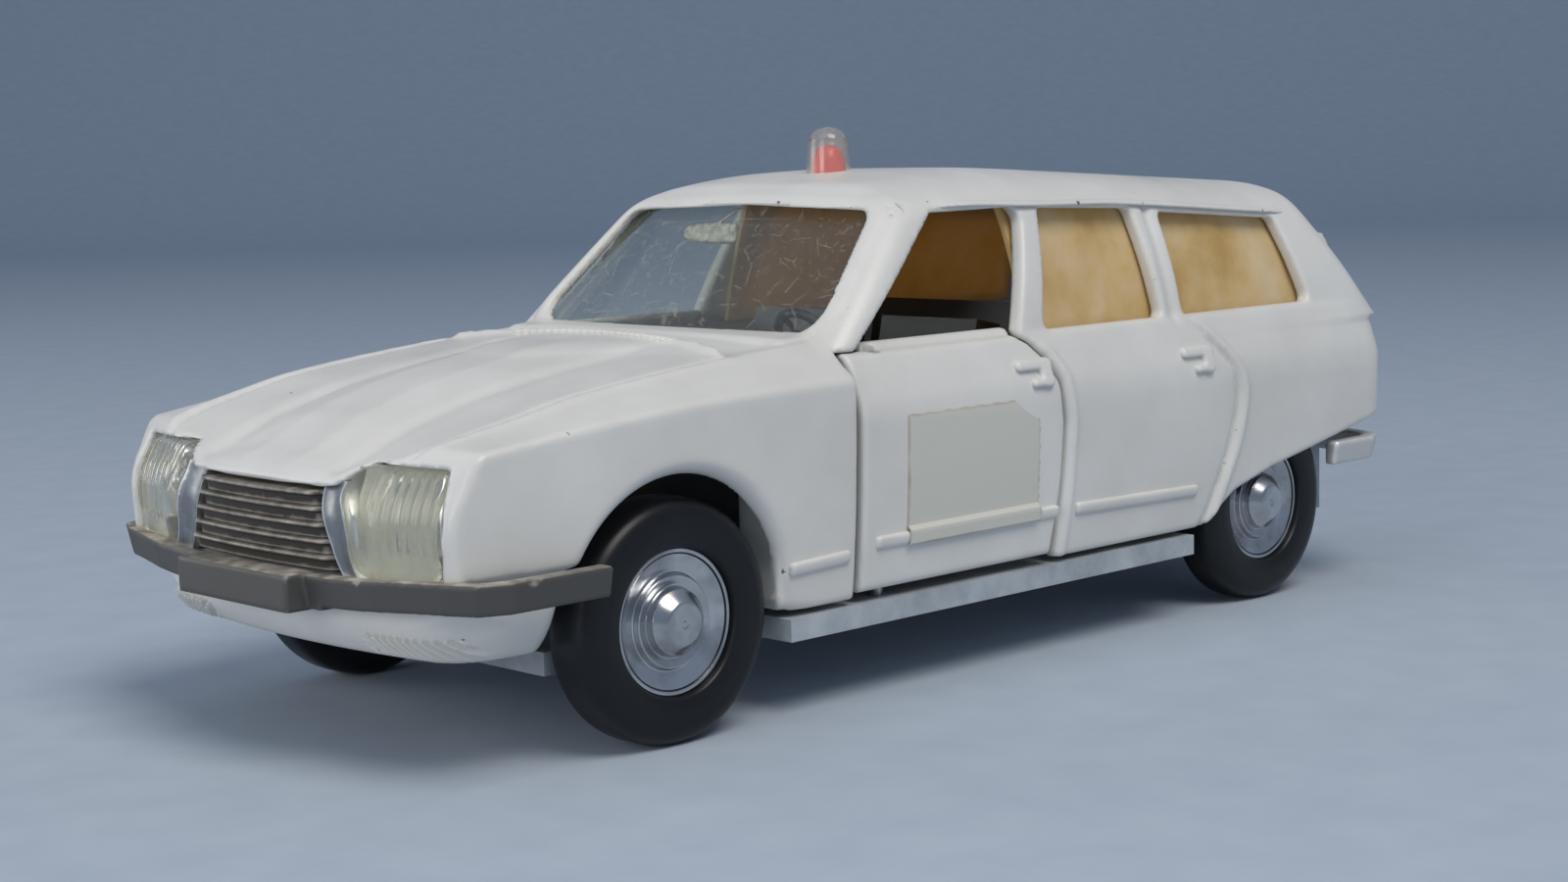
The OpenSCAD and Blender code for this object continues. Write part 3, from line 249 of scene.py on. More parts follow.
def drawn_in(points, r):
    """The same outline with each edge moved in by r, for corners that are rounded afterwards."""
    p = np.array(points, float)
    e = np.roll(p, -1, 0) - p
    if (p[:, 0] * np.roll(p[:, 1], -1) - p[:, 1] * np.roll(p[:, 0], -1)).sum() < 0:
        return drawn_in(points[::-1], r)
    n = np.stack([-e[:, 1], e[:, 0]], 1) / np.linalg.norm(e, axis=1)[:, None]
    made = []
    for i in range(len(p)):
        a, b = n[i - 1], n[i]
        made.append(tuple(p[i] + (a + b) * r / (1 + a @ b)))
    return made


def whole(half, *middle):
    """Outline from its left half and the points on its middle line."""
    return half + list(middle) + [(-a, b) for a, b in half[::-1]]


def rounded(u, v, points, r):
    return outline(u, v, drawn_in(points, r)) - r


def half_width(x):
    front = np.clip((x - FRONT_AXLE) / (LAMP_X - FRONT_AXLE), 0, 1.2)
    rear = np.clip((REAR_AXLE - x) / (REAR_AXLE - TAIL), 0, 1.2)
    return SIDE - 0.8 * front ** 2 - 0.7 * rear ** 2


def side_line(x, z, crease):
    """How far out the lower side lies below its crease."""
    u = np.clip((z - SILL) / (crease - SILL), -0.6, 1)
    return half_width(x) - 0.7 * (1 - u) ** 2.2


def quarter_line(x, z):
    """Distance from the shut line between the rear door and the quarter, behind it positive."""
    return -curve(QUARTER_SHUT, np.clip(z, 6, 22)) - x


def rear_side(x, y, z):
    crease = 18.1 + 0.012 * np.clip(x, -46, 14)
    lower = y - side_line(x, z, crease)
    v = (z - crease) / (BELT - crease)
    upper = y - half_width(x) + 1.6 * (0.72 * v + 0.28 * np.maximum(v, 0) ** 2)
    line = quarter_line(x, z)
    fade = ease((22.0 - z) / 1.2)
    shut = fade * (0.3 * hump(line / 0.34) - 0.26 * hump((line - 0.85) / 0.45))
    return both(lower, upper, 0.28) + shut


def hood_top(x, y):
    w = half_width(x)
    ridge_y = 0.8 * w
    middle, ridge, crease = curve(HOOD_MIDDLE, x), curve(HOOD_RIDGE, x), curve(FENDER_CREASE, x)
    inner = middle + (ridge - middle) * (y / ridge_y) ** 2
    r = np.clip((y - ridge_y) / (w - ridge_y), 0, 1.5)
    top = np.where(y < ridge_y, inner, ridge - (ridge - crease) * (0.8 * r + 0.2 * r * r))
    long_fade = ease((x - 18.5) / 9) * ease((46.6 - x) / 2.5)
    t = (6.3 - y) / 3.9
    raised = 0.5 * (np.sqrt(t * t + 0.003) - np.sqrt((t - 1) ** 2 + 0.003) + 1)
    top = top + long_fade * (0.62 * raised - 0.26 * hump((y - 6.9) / 0.8))
    edge = x - (19.6 + 2.2 * (y / 14.3) ** 2)
    reach = ease((14.6 - y) / 2.4)
    top = top + reach * 0.26 * hump(edge / 0.33)
    top = top - reach * 0.3 * ease(-edge / 0.5) * ease((x - 16.2) / 0.9)
    hood_side = ease((x - 20.5) / 1.5) * ease((45.2 - x) / 1.5)
    line = y - 14.2 + 1.4 * np.clip((x - 36) / 8, 0, 1) ** 2
    valley = 0.14 * hump((line - 0.35) / 0.35) - 0.2 * hump((line + 0.25) / 0.28)
    return top + hood_side * valley


def nose_line(y):
    return NOSE - (NOSE - LAMP_X) * (y / LAMP_Y) ** 2


def lower_form(x, y, z):
    nose = 0.9 * (x - nose_line(y) - curve(NOSE_LEAN, z))
    fender = both(y - side_line(x, z, curve(FENDER_CREASE, x)), 0.92 * (z - hood_top(x, y)), 0.34)
    fender = both(fender, nose, 0.4 + 4.2 * ease((10.8 - z) / 2.2))
    rear = both(rear_side(x, y, z), z - BELT, 0.5)
    rear = both(rear, TAIL - x, 3.2)
    return np.where(x > DOOR_FRONT, fender, rear)


def gate_place(x, z):
    """Place along the tailgate's slope, and out from it."""
    dx, dz = x - GATE_X + BOW, z - GATE_Z
    s, c = math.sin(GATE_TURN), math.cos(GATE_TURN)
    return dx * s + dz * c, dz * s - dx * c


def roof_height(x, y):
    g = curve(GUTTER, x)
    return g + (curve(ROOF_MIDDLE, x) - g) * (1 - np.minimum(np.abs(y) / GUTTER_Y, 1.2) ** 5)


def cabin_side(x, z):
    t = np.clip((z - 21) / (curve(GUTTER, x) - 21), -0.4, 1.2)
    return 16.45 + (GUTTER_Y - 16.45) * t + 0.35 * np.sin(np.pi * np.clip(t, 0, 1))


def gate_face(x, y, z):
    """Distance from the tailgate's bowed outer face."""
    return 0.806 * (GATE_X - BOW + (z - GATE_Z) * GATE_SLOPE + BOW * (y / BELT_Y) ** 2 - x)


def cabin_form(x, y, z):
    screen = 0.69 * (x - SCREEN_X - BOW - (z - SCREEN_Z) * SCREEN_SLOPE + BOW * (y / BELT_Y) ** 2)
    groove = 0.3 * hump((x + 19.75) / 0.42) * ease((z - 21.2) / 0.8)
    walls = both(0.95 * (y - cabin_side(x, z)) + groove, screen, 1.5)
    walls = both(walls, gate_face(x, y, z), 1.9)
    return both(both(walls, 0.9 * (z - roof_height(x, y)), 0.55), 20.4 - z, 0.1)


def door_outline(gap, front_gap, top, low):
    front, rear = DOOR_FRONT - front_gap, DOOR_REAR + gap
    return [(front, low), (front, top), (rear + 3.3, top), (rear + 2.2, 21.2), (rear + 1.2, 20.2),
            (rear + 0.35, 18.6), (rear, 15.8), (rear + 0.3, 11.2), (rear + 1.0, low)]


def gate_outline(gap):
    top = GATE_TOP - gap
    half = [(14.2 - gap, gap - 0.1), (11.6 - gap, top - 2.4), (11.1 - gap, top - 1.95), (10.1, top - 1.4),
            (8.12, top - 0.85), (5.4, top - 0.36), (2.7, top - 0.1)]
    return whole(half, (0, top))


def apron_depth(z):
    """How far the apron under the grille stands back from the nose."""
    return 0.95 + 1.5 * np.clip((9.6 - z) / 3.0, 0, 1.1) ** 2


def pane_back(x, z, foot):
    """Distance behind the slanted rear edge of the windscreen's moulding."""
    return 0.817 * (foot - (z - 21.8) * 0.705 - x)


def folded(p):
    """Coordinates of points, with the right side laid on the left."""
    return p[:, 0], np.abs(p[:, 1]), p[:, 2]


def body_field(p):
    x, y, z = folded(p)
    low_form, cabin = lower_form(x, y, z), cabin_form(x, y, z)
    form = either(low_form, cabin, 0.5)
    form = without(form, meet(z - 11.65, FRONT_AXLE - x, -(low_form + apron_depth(z))), 0.3)
    arch = np.minimum(np.hypot(x - 28.6, z - 7.85) - 8.2, outline(x, z, FRONT_ARCH))
    rim = np.maximum(rounded(y, z, SCREEN, 1.3), 2.6 - x)
    skin_out = form - 0.2 * ease((1.15 - rim) / 0.6) * ease((z - 22) / 0.8)
    door_edge = outline(x, z, door_outline(0, 0, 21.88, 5.0))
    flare = 0.24 * hump((door_edge - 0.6) / 0.36) * ease(-x - 2) * ease((21.4 - z) / 0.6)
    skin_out = skin_out - flare
    shell = np.maximum(without(skin_out, arch, 1.0), -(form + WALL))
    face = np.maximum(outline(y, z, whole(FACE_HALF)), LAMP_X - 3 - x)
    pane = meet(cabin + 0.5, outline(y, z, SCREEN_PANE) - 0.25, pane_back(x, z, 9.8))
    up, out = gate_place(x, z)
    gate = meet(outline(y, up, gate_outline(0)), -3 - out, out - 5)
    pocket = meet(np.abs(y - TAIL_LAMP_Y) - 1.1, np.abs(z - TAIL_LAMP_Z) - 2.5, x + 45.8)
    well = np.maximum(np.hypot(x - REAR_AXLE, z - AXLE_Z) - 7.85, y - 17)
    from_gate_pin = np.hypot(x - GATE_AXIS[0], z - GATE_AXIS[1])
    swing = meet(np.hypot(x - DOOR_AXIS[0], y - DOOR_AXIS[1]) - 4.19, low_form + 0.55, z - 21.2)
    gate_swing = meet(from_gate_pin - 4.56, cabin + 0.55, y - 11.95)
    cuts = [(face, 0.2), (rim, 0.2), (pane, 0.1), (gate, 0.3)]
    cuts += [(rounded(x, z, points, r), 0.3) for points, r in WINDOWS]
    cuts += [(door_edge, 0.34), (outline(x, z, QUARTER_EDGE), 0.4), (pocket, 0.12), (well, 0.1),
             (swing, 0.1), (gate_swing, 0.1)]
    for cut, r in cuts:
        shell = without(shell, cut, r)
    boss = both(from_gate_pin - 0.6, np.maximum(12.6 - y, y - 14.13), 0.08)
    shell = either(shell, boss, 0.25)
    well_wall = both(np.maximum(np.abs(x - 20.1) - 0.42, y - 16.9), np.maximum(13.5 - y, z - 14.2), 0.2)
    shell = either(shell, np.maximum(well_wall, form + 0.3), 0.2)
    return both(shell, SILL - z, 0.3 + 0.5 * hump((x - 20.2) / 1.4))


def skin(field, low, high, h):
    """Quads over a field's zero surface: one point for each cell that it crosses, drawn onto it."""
    axes = [np.arange(low[i], high[i] + h, h) for i in range(3)]
    shape = [len(a) for a in axes]
    coarse = 3
    rough_axes = [a[::coarse] for a in axes]
    grid = np.stack(np.meshgrid(*rough_axes, indexing="ij"), -1).reshape(-1, 3)
    rough = field(grid).reshape([len(a) for a in rough_axes])
    index = [np.minimum((np.arange(n) + 1) // coarse, len(rough_axes[i]) - 1) for i, n in enumerate(shape)]
    value = rough[np.ix_(*index)].copy()
    near = np.abs(value) < h * coarse * 1.6
    cells = np.argwhere(near)
    value[near] = field(np.stack([axes[i][cells[:, i]] for i in range(3)], 1))
    inside = value < 0
    corners = [(i, j, k) for i in (0, 1) for j in (0, 1) for k in (0, 1)]

    def part(a, c):
        return a[tuple(slice(c[i], shape[i] - 1 + c[i]) for i in range(3))]

    count = sum(part(inside, c).astype(np.int8) for c in corners)
    active = (count > 0) & (count < 8)
    cell = np.argwhere(active)
    number = np.full(active.shape, -1)
    number[active] = np.arange(len(cell))
    total, weight = np.zeros((len(cell), 3)), np.zeros(len(cell))
    at = {c: value[cell[:, 0] + c[0], cell[:, 1] + c[1], cell[:, 2] + c[2]] for c in corners}
    for a in corners:
        for axis in range(3):
            if a[axis] == 0:
                b = tuple(1 if i == axis else a[i] for i in range(3))
                crosses = (at[a] < 0) != (at[b] < 0)
                t = np.where(crosses, at[a] / np.where(crosses, at[a] - at[b], 1), 0)
                place = np.tile(np.array(a, float), (len(cell), 1))
                place[:, axis] += t
                total += place * crosses[:, None]
                weight += crosses
    points = np.array(low) + (cell + total / weight[:, None]) * h
    quads = []
    for axis in range(3):
        b, c = [(1, 2), (2, 0), (0, 1)][axis]
        one = tuple(slice(0, shape[i] - 1) if i == axis else slice(1, shape[i] - 1) for i in range(3))
        two = tuple(slice(1, shape[i]) if i == axis else slice(1, shape[i] - 1) for i in range(3))
        first, second = inside[one], inside[two]
        for hit, flip in ((first & ~second, False), (~first & second, True)):
            e = np.argwhere(hit)
            e[:, b] += 1
            e[:, c] += 1
            ring = []
            for db, dc in ((0, 0), (-1, 0), (-1, -1), (0, -1)):
                q = e.copy()
                q[:, b] += db
                q[:, c] += dc
                ring.append(number[q[:, 0], q[:, 1], q[:, 2]])
            ring = np.stack(ring, 1)
            quads.append(ring[:, ::-1] if flip else ring)
    quads = np.concatenate(quads)
    quads = quads[(quads >= 0).all(1)]
    d = h * 0.2
    for _ in range(PULLS):
        f = field(points)
        slope = np.stack([(field(points + d * n) - field(points - d * n)) / (2 * d) for n in np.eye(3)], 1)
        move = -f[:, None] * slope / np.maximum((slope ** 2).sum(1), 0.25)[:, None]
        far = np.linalg.norm(move, axis=1)
        points = points + move * np.minimum(1, 0.5 * h / np.maximum(far, 1e-9))[:, None] * 0.9
    return points, quads


def mirrored(field, low, high, h):
    """Skins one half of a field, from half a cell past the middle, and joins it to its mirror image."""
    points, quads = skin(field, (low[0], low[1] - h / 2, low[2]), high, h)
    seam = np.abs(points[:, 1]) < h * 0.4
    points[seam, 1] = 0
    keep = points[:, 1] >= 0
    quads = quads[keep[quads].all(1)]
    other = np.arange(len(points)) + len(points)
    other[seam] = np.arange(len(points))[seam]
    image = points * [1, -1, 1]
    return np.concatenate([points, image]), np.concatenate([quads, other[quads][:, ::-1]])


def skin_object(name, points, quads, material):
    used, quads = np.unique(quads, return_inverse=True)
    quads = quads.reshape(-1, 4)
    mesh = bpy.data.meshes.new(name)
    mesh.from_pydata((points[used] * MM).tolist(), [], quads.tolist())
    mesh.validate()
    mesh.polygons.foreach_set("use_smooth", [True] * len(mesh.polygons))
    made = new_object(name, mesh, material)
    if len(quads) * 2 > TRIANGLE_LIMIT:
        thin = made.modifiers.new("thin", "DECIMATE")
        thin.ratio = TRIANGLE_LIMIT / (len(quads) * 2)
        settled(made)
    return made


def settled(made):
    """Applies an object's modifiers."""
    view = bpy.context.evaluated_depsgraph_get()
    mesh = bpy.data.meshes.new_from_object(made.evaluated_get(view))
    made.modifiers.clear()
    made.data = mesh
    return made


def noise(tree, scale, detail, rough=0.5):
    """Noise in the object's own coordinates."""
    place = node(tree, "ShaderNodeTexCoord").outputs["Object"]
    return node(tree, "ShaderNodeTexNoise", in_Vector=place, in_Scale=scale, in_Detail=detail,
                in_Roughness=rough).outputs["Fac"]


def mapped(tree, value, low, high, to_low=0, to_high=1):
    """A value's range from low to high, drawn onto another range."""
    return node(tree, "ShaderNodeMapRange", in_0=value, in_1=low, in_2=high, in_3=to_low,
                in_4=to_high).outputs[0]


def maths(tree, operation, *inputs, clamp=False):
    made = node(tree, "ShaderNodeMath", operation=operation, use_clamp=clamp)
    fill(made, **{str(i): value for i, value in enumerate(inputs)})
    return made.outputs[0]


def blend(tree, amount, first, second):
    return node(tree, "ShaderNodeMix", data_type="RGBA", in_0=amount, in_6=first, in_7=second).outputs[2]


def bump(tree, height, strength, distance=0.0001, **more):
    return node(tree, "ShaderNodeBump", in_Height=height, in_Strength=strength, in_Distance=distance,
                **more).outputs["Normal"]


# Thick cream enamel on zinc: clouded, chipped on its edges, with blue grey painted shade, standing partly for
# grime, in the shut lines and other hollows, and a fine orange peel.
enamel, tree, shader = new_material("cream_enamel_on_zinc")
edges = node(tree, "ShaderNodeNewGeometry").outputs["Pointiness"]
cloud, fleck, peel = noise(tree, 95, 5, 0.6), noise(tree, 2400, 4), noise(tree, 420, 3)
tone = ramp(tree, cloud, (0.3, "#d9d6cf"), (0.68, "#e6e4de"))
# Painted shade: where the pointiness falls into hollows and shut lines the cream turns blue grey, partly also
# standing for grime.
shade_and_grime_tone = blend(tree, mapped(tree, edges, 0.48, 0.4, 0, 0.4), tone, linear("#8a929b"))
chipped = mapped(tree, maths(tree, "MULTIPLY_ADD", fleck, 0.5, edges), 0.95, 0.98)
fill(shader, Base_Color=blend(tree, chipped, shade_and_grime_tone, linear("#6d6a66")),
     Roughness=mapped(tree, cloud, 0.3, 0.7, 0.3, 0.44),
     Normal=bump(tree, peel, 0.12, 0.00015, in_Normal=bump(tree, fleck, 0.06)))

body = skin_object("body_casting", *mirrored(body_field, (-47.6, 0, 5.4), (47.4, 18.8, 33.8), CELL), enamel)
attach(body, "car_body")
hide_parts("body_shell")


# Rubbing strips, door handles, rain gutters and cowl ribs
# They are cast in one with the body, so they take the same enamel over rounded relief.
# Fine slanted ribs on the apron and a row of small ribs behind the hood are cast in too.
RIBS, RIB_PITCH, RIB_X, RIB_BOW = 23, 0.7, 19.2, 0.64
HALVINGS = 30


def halving(is_inside, like, low, high):
    """The farthest place that lies inside, found by halving."""
    low, high = np.full(np.shape(like), low), np.full(np.shape(like), high)
    for _ in range(HALVINGS):
        middle = (low + high) / 2
        is_in = is_inside(middle)
        low, high = np.where(is_in, middle, low), np.where(is_in, high, middle)
    return low


def side_y(x, z):
    """How far out the painted side lies."""
    def is_inside(y):
        return np.where(x > DOOR_FRONT, lower_form(x, y, z), rear_side(x, y, z)) < 0
    return halving(is_inside, x, 10.0, 20.0)


def strip_field(x0, x1, z0, z1):
    def field(p):
        x, y, z = p.T
        lie = z - z0 - (z1 - z0) * (x - x0) / (x1 - x0)
        proud = y - side_y(x, z)
        crown = np.maximum(proud - 0.3 + 0.2 * np.clip(-lie, 0, 1), -0.4 - proud)
        return both(both(np.abs(lie) - 0.42, crown, 0.22), np.maximum(x - x0, x1 - x), 0.25)
    return field, (x1 - 0.5, 15.5, min(z0, z1) - 0.9), (x0 + 0.5, 18.6, max(z0, z1) + 0.9)


def handle_field(x0, z0):
    def field(p):
        x, y, z = p.T
        proud = y - side_y(x, z)
        bar = both(np.abs(x - x0 + 1.7) - 1.75, np.abs(z - z0) - 0.36, 0.34)
        grip = both(np.abs(x - x0 + 2.75) - 0.56, np.abs(z - z0 + 0.75) - 0.75, 0.5)
        hook = both(np.abs(x - x0 + 2.2) - 1.0, np.abs(z - z0 + 1.2) - 0.28, 0.26)
        return both(either(either(bar, grip, 0.2), hook, 0.2), np.maximum(proud - 0.42, -0.3 - proud), 0.26)
    return field, (x0 - 4.2, 15.2, z0 - 2), (x0 + 0.6, 18.8, z0 + 0.9)


def gutter_field(p):
    x, y, z = p.T
    fade = ease((3.6 - x) / 5) * ease((x + 38.6) / 5)
    out = y - cabin_side(x, z) - 0.45 * fade + 0.1
    top = 0.9 * (z - roof_height(x, np.minimum(y, GUTTER_Y)) - 0.04 * fade + 0.05)
    eave = both(out, top, 0.5 - 0.18 * fade)
    return both(np.maximum(eave, GUTTER_Y - 1.0 - y), curve(GUTTER, x) - 0.38 - z, 0.12)


def apron_field(p):
    x, y, z = p.T
    proud = lower_form(x, y, z) + apron_depth(z)
    stripe = 0.5 + 0.5 * np.cos(2 * np.pi * (y + 0.7 * z) / 0.6)
    patch = both(np.abs(y - 11.6) - 3.4, np.abs(z - 7.5) - 0.8, 0.4)
    return meet(proud - 0.5 * stripe * ease(-patch / 0.3) + 0.03, -0.3 - proud, patch)


def handed(points, quads, side):
    """A skin as it is for the left, or mirrored for the right."""
    return (points, quads) if side > 0 else (points * [1, -1, 1], quads[:, ::-1])


def relief(name, fields, h, body_name, sides=(1, -1)):
    """Pieces of relief joined in one mesh, on both sides or on one."""
    points, quads, count = [], [], 0
    for field, low, high in fields:
        one_side = skin(field, low, high, h)
        for side in sides:
            a, b = handed(*one_side, side)
            points.append(a)
            quads.append(b + count)
            count += len(a)
    made = skin_object(name, np.concatenate(points), np.concatenate(quads), enamel)
    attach(made, body_name)
    return made


def solid(name, points, faces, material, sharp):
    """Mesh with smooth faces, sharp where they meet at more than an angle."""
    mesh = bpy.data.meshes.new(name)
    mesh.from_pydata(points.tolist(), [], faces)
    work = bmesh.new()
    work.from_mesh(mesh)
    bmesh.ops.recalc_face_normals(work, faces=work.faces[:])
    work.to_mesh(mesh)
    work.free()
    mesh.polygons.foreach_set("use_smooth", [True] * len(mesh.polygons))
    mesh.set_sharp_from_angle(angle=math.radians(sharp))
    return new_object(name, mesh, material)


def loft(name, rings, material):
    """Closed solid through rings of points."""
    n, m = rings.shape[:2]
    at = np.arange(n * m).reshape(n, m)
    after = np.roll(at, -1, 1)
    faces = np.stack([at[:-1], after[:-1], after[1:], at[1:]], -1).reshape(-1, 4).tolist()
    faces += [at[0][::-1].tolist(), at[-1].tolist()]
    return solid(name, rings.reshape(-1, 3) * MM, faces, material, 40)


def repeated(made, count, step, spread=0.0, bow=(0, 0, 0)):
    """Repeats a piece along a bowed line with Geometry Nodes, each one wider than the last by a share."""
    tree = bpy.data.node_groups.new(made.name + "_row", "GeometryNodeTree")
    for way in ("INPUT", "OUTPUT"):
        tree.interface.new_socket("Geometry", in_out=way, socket_type="NodeSocketGeometry")
    row_modifier = made.modifiers.new("row", "NODES")
    settings = []
    for name, kind, value in (("Count", "Int", count), ("Step", "Vector", [v * MM for v in step]),
                              ("Spread", "Float", spread), ("Bend", "Vector", [v * MM for v in bow])):
        socket = tree.interface.new_socket(name, in_out="INPUT", socket_type="NodeSocket" + kind)
        settings.append((socket.identifier, value))
    start = node(tree, "NodeGroupInput").outputs
    order = node(tree, "GeometryNodeInputIndex").outputs[0]
    row = node(tree, "GeometryNodeMeshLine", in_Count=start["Count"], in_Offset=start["Step"])
    width = maths(tree, "MULTIPLY_ADD", order, start["Spread"], 1)
    size = node(tree, "ShaderNodeCombineXYZ", in_0=1, in_1=width, in_2=1)
    away = maths(tree, "ADD", order, maths(tree, "MULTIPLY_ADD", start["Count"], -0.5, 0.5))
    square = maths(tree, "MULTIPLY", away, away)
    shift = node(tree, "ShaderNodeVectorMath", operation="SCALE", in_0=start["Bend"], in_Scale=square)
    line = node(tree, "GeometryNodeSetPosition", in_Geometry=row.outputs[0], in_Offset=shift.outputs[0])
    copies = node(tree, "GeometryNodeInstanceOnPoints", in_Points=line.outputs[0],
                  in_Instance=start["Geometry"], in_Scale=size.outputs[0])
    real = node(tree, "GeometryNodeRealizeInstances", in_0=copies.outputs[0])
    clad = node(tree, "GeometryNodeSetMaterial", in_Geometry=real.outputs[0],
                in_Material=made.data.materials[0])
    node(tree, "NodeGroupOutput", in_0=clad.outputs[0])
    row_modifier.node_group = tree
    for identifier, value in settings:
        row_modifier[identifier] = value
    return settled(made)


relief("body_side_relief", [strip_field(20.0, 14.9, 9.25, 9.45), strip_field(-6.9, -20.6, 9.75, 9.45),
                            handle_field(-19.0, 19.4)], 0.14, "car_body")
relief("apron_ribs", [(apron_field, (39.6, 7.8, 6.5), (46.2, 15.4, 8.6))], 0.12, "car_body")
relief("roof_gutters", [(gutter_field, (-39.0, 12.2, 27.8), (5.0, 14.4, 31.6))], 0.15, "car_body")

along = np.array([0.0, 0.06, 0.2, 0.45, 0.7, 0.84, 0.9])
thick = 0.2 * np.array([0.2, 0.7, 0.95, 1.0, 0.95, 0.7, 0.2])
spin = np.linspace(0, 2 * np.pi, 14, endpoint=False)
ends = RIBS // 2
crest, flank = hood_top(np.array([19.6, 20.24]), np.array([0.0, 7.7]))
rings = np.array([[(RIB_X + a, -RIB_PITCH * ends + r * np.cos(t), crest + 0.02 + r * np.sin(t)) for t in spin]
                  for a, r in zip(along, thick)])
ribs = repeated(loft("cowl_ribs", rings, enamel), RIBS, (0, RIB_PITCH, 0),
                bow=(RIB_BOW / ends ** 2, 0, (flank - crest) / ends ** 2))
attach(ribs, "car_body")

# Front doors
# Each is its own casting, with a hinge barrel behind its leading edge that turns on a steel pin.
# Its edges are rounded by the enamel, and the shut line round it is left dark.
DOOR_LEDGE = [(12.0, 20), (11.2, 22.3), (-2.7, 22.3), (-2.7, 20)]
BARREL, BORE = 1.0, 0.55
SIDES = ((1, "left"), (-1, "right"))


def door_field(p):
    x, y, z = p.T
    form = rear_side(x, y, z)
    shell = np.maximum(form, -(form + WALL))
    panel = both(shell, outline(x, z, door_outline(0.3, 0.45, 21.8, 6.9)), 0.42)
    ledge = both(np.maximum(form + 0.75, -(form + 1.5)), rounded(x, z, DOOR_LEDGE, 0.3), 0.2)
    away = np.hypot(x - DOOR_AXIS[0], y - DOOR_AXIS[1])
    web = meet(8.5 - x, x - DOOR_AXIS[0], 15.4 - y, form + 0.4)
    barrel = meet(np.minimum(away - BARREL, web), 7.25 - z, z - 14.25)
    return np.maximum(np.minimum(np.minimum(panel, ledge), barrel), BORE - away)


door_skin = skin(door_field, (-7.0, 13.6, 6.0), (14.8, 18.8, 23.0), 0.24)
for side, name in SIDES:
    body_name = name + "_door"
    door = skin_object(body_name + "_casting", *handed(*door_skin, side), enamel)
    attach(door, body_name)
    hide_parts(body_name)
    relief(body_name + "_relief", [strip_field(12.6, -5.0, 9.95, 9.85), handle_field(-1.2, 19.9)],
           0.14, body_name, (side,))

# Tailgate
# A bowed panel that hangs on two stub pins under the roof's rear edge.
# A finger lip runs along its lower edge, and a clear window sits in it.
GATE_HALF = [(12.2, 2.0), (9.6, 6.86), (6.4, 7.96), (3.2, 8.62)]
GATE_WINDOW = whole(GATE_HALF, (0, 8.86))


def tailgate_field(p):
    x, y, z = folded(p)
    up = gate_place(x, z)[0]
    face = gate_face(x, y, z)
    panel = both(np.maximum(face, -(face + WALL)), outline(y, up, gate_outline(0.4)), 0.3)
    panel = without(panel, rounded(y, up, GATE_WINDOW, 0.9), 0.25)
    lip = both(np.maximum(face - 0.9, -(face + WALL)), np.abs(up - 0.7) - 0.5, 0.3)
    lip = both(lip, y - 13.48, 0.3)
    away = np.hypot(x - GATE_AXIS[0], z - GATE_AXIS[1])
    arm = meet(np.abs(up - GATE_TOP + 4.4) - 0.5, face + 0.3, -1.3 - face)
    barrel = np.maximum(np.minimum(away - BARREL, arm), np.abs(y - 11.15) - 0.65)
    return np.maximum(np.minimum(np.minimum(panel, lip), barrel), BORE - away)


gate = skin_object("tailgate_casting",
                   *mirrored(tailgate_field, (-48.0, 0, 20.8), (-36.5, 15, 32.5), 0.3), enamel)
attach(gate, "tailgate")
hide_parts("tailgate")

# Windscreen and tailgate window
# Clear mouldings behind the openings, dusty and finely scratched.
# The interior mirror hangs on a stem behind the windscreen.
def clear_material(name, tint, rough, dust, dust_colour="#b9b4a8", lint=0.0, haze=0.12):
    """Clear plastic under a film of dust with specks in it, and lint along fine lines."""
    material, tree, shader = new_material(name)
    fill(shader, Base_Color=linear(tint), Roughness=rough, IOR=1.49, Transmission_Weight=1)
    shadow = node(tree, "ShaderNodeLightPath").outputs["Is Shadow Ray"]
    open_way = node(tree, "ShaderNodeBsdfTransparent", in_Color=linear(tint))
    seen = node(tree, "ShaderNodeMixShader", in_0=shadow, in_1=shader.outputs[0], in_2=open_way.outputs[0])
    specks = mapped(tree, noise(tree, 2600, 3), 0.6, 0.72)
    film = mapped(tree, noise(tree, 130, 3), 0.3, 0.8, 0.35)
    dusty = maths(tree, "MULTIPLY", maths(tree, "MULTIPLY_ADD", specks, film, haze), dust, clamp=True)
    place = node(tree, "ShaderNodeTexCoord").outputs["Object"]
    thread = node(tree, "ShaderNodeTexVoronoi", feature="DISTANCE_TO_EDGE", in_Vector=place, in_Scale=420)
    hair = mapped(tree, thread.outputs["Distance"], 0.008, 0.03, lint, 0)
    torn = mapped(tree, noise(tree, 700, 1), 0.52, 0.58)
    amount = maths(tree, "MULTIPLY_ADD", hair, torn, dusty, clamp=True)
    grey = node(tree, "ShaderNodeBsdfDiffuse", in_Color=linear(dust_colour))
    whole = node(tree, "ShaderNodeMixShader", in_0=amount, in_1=seen.outputs[0], in_2=grey.outputs[0])
    fill(tree.nodes["Material Output"], Surface=whole.outputs[0])
    return material


def clouded(name, scale, detail, stops, rough, soft=0.5, grain=None):
    """Material whose colour runs with a noise. Its roughness is one number, or two that the noise joins."""
    material, tree, shader = new_material(name)
    cloud = noise(tree, scale, detail, soft)
    is_pair = isinstance(rough, tuple)
    fill(shader, Base_Color=ramp(tree, cloud, *stops),
         Roughness=mapped(tree, cloud, 0.3, 0.7, *rough) if is_pair else rough)
    if grain:
        grain_scale, grain_detail, strength = grain
        fill(shader, Normal=bump(tree, noise(tree, grain_scale, grain_detail), strength))
    return material, tree, shader


def screen_field(p):
    x, y, z = folded(p)
    cabin = cabin_form(x, y, z)
    pane = np.maximum(cabin + 0.62, -(cabin + 1.32))
    return both(pane, meet(outline(y, z, SCREEN_PANE), pane_back(x, z, 10.2), 22.15 - z), 0.12)


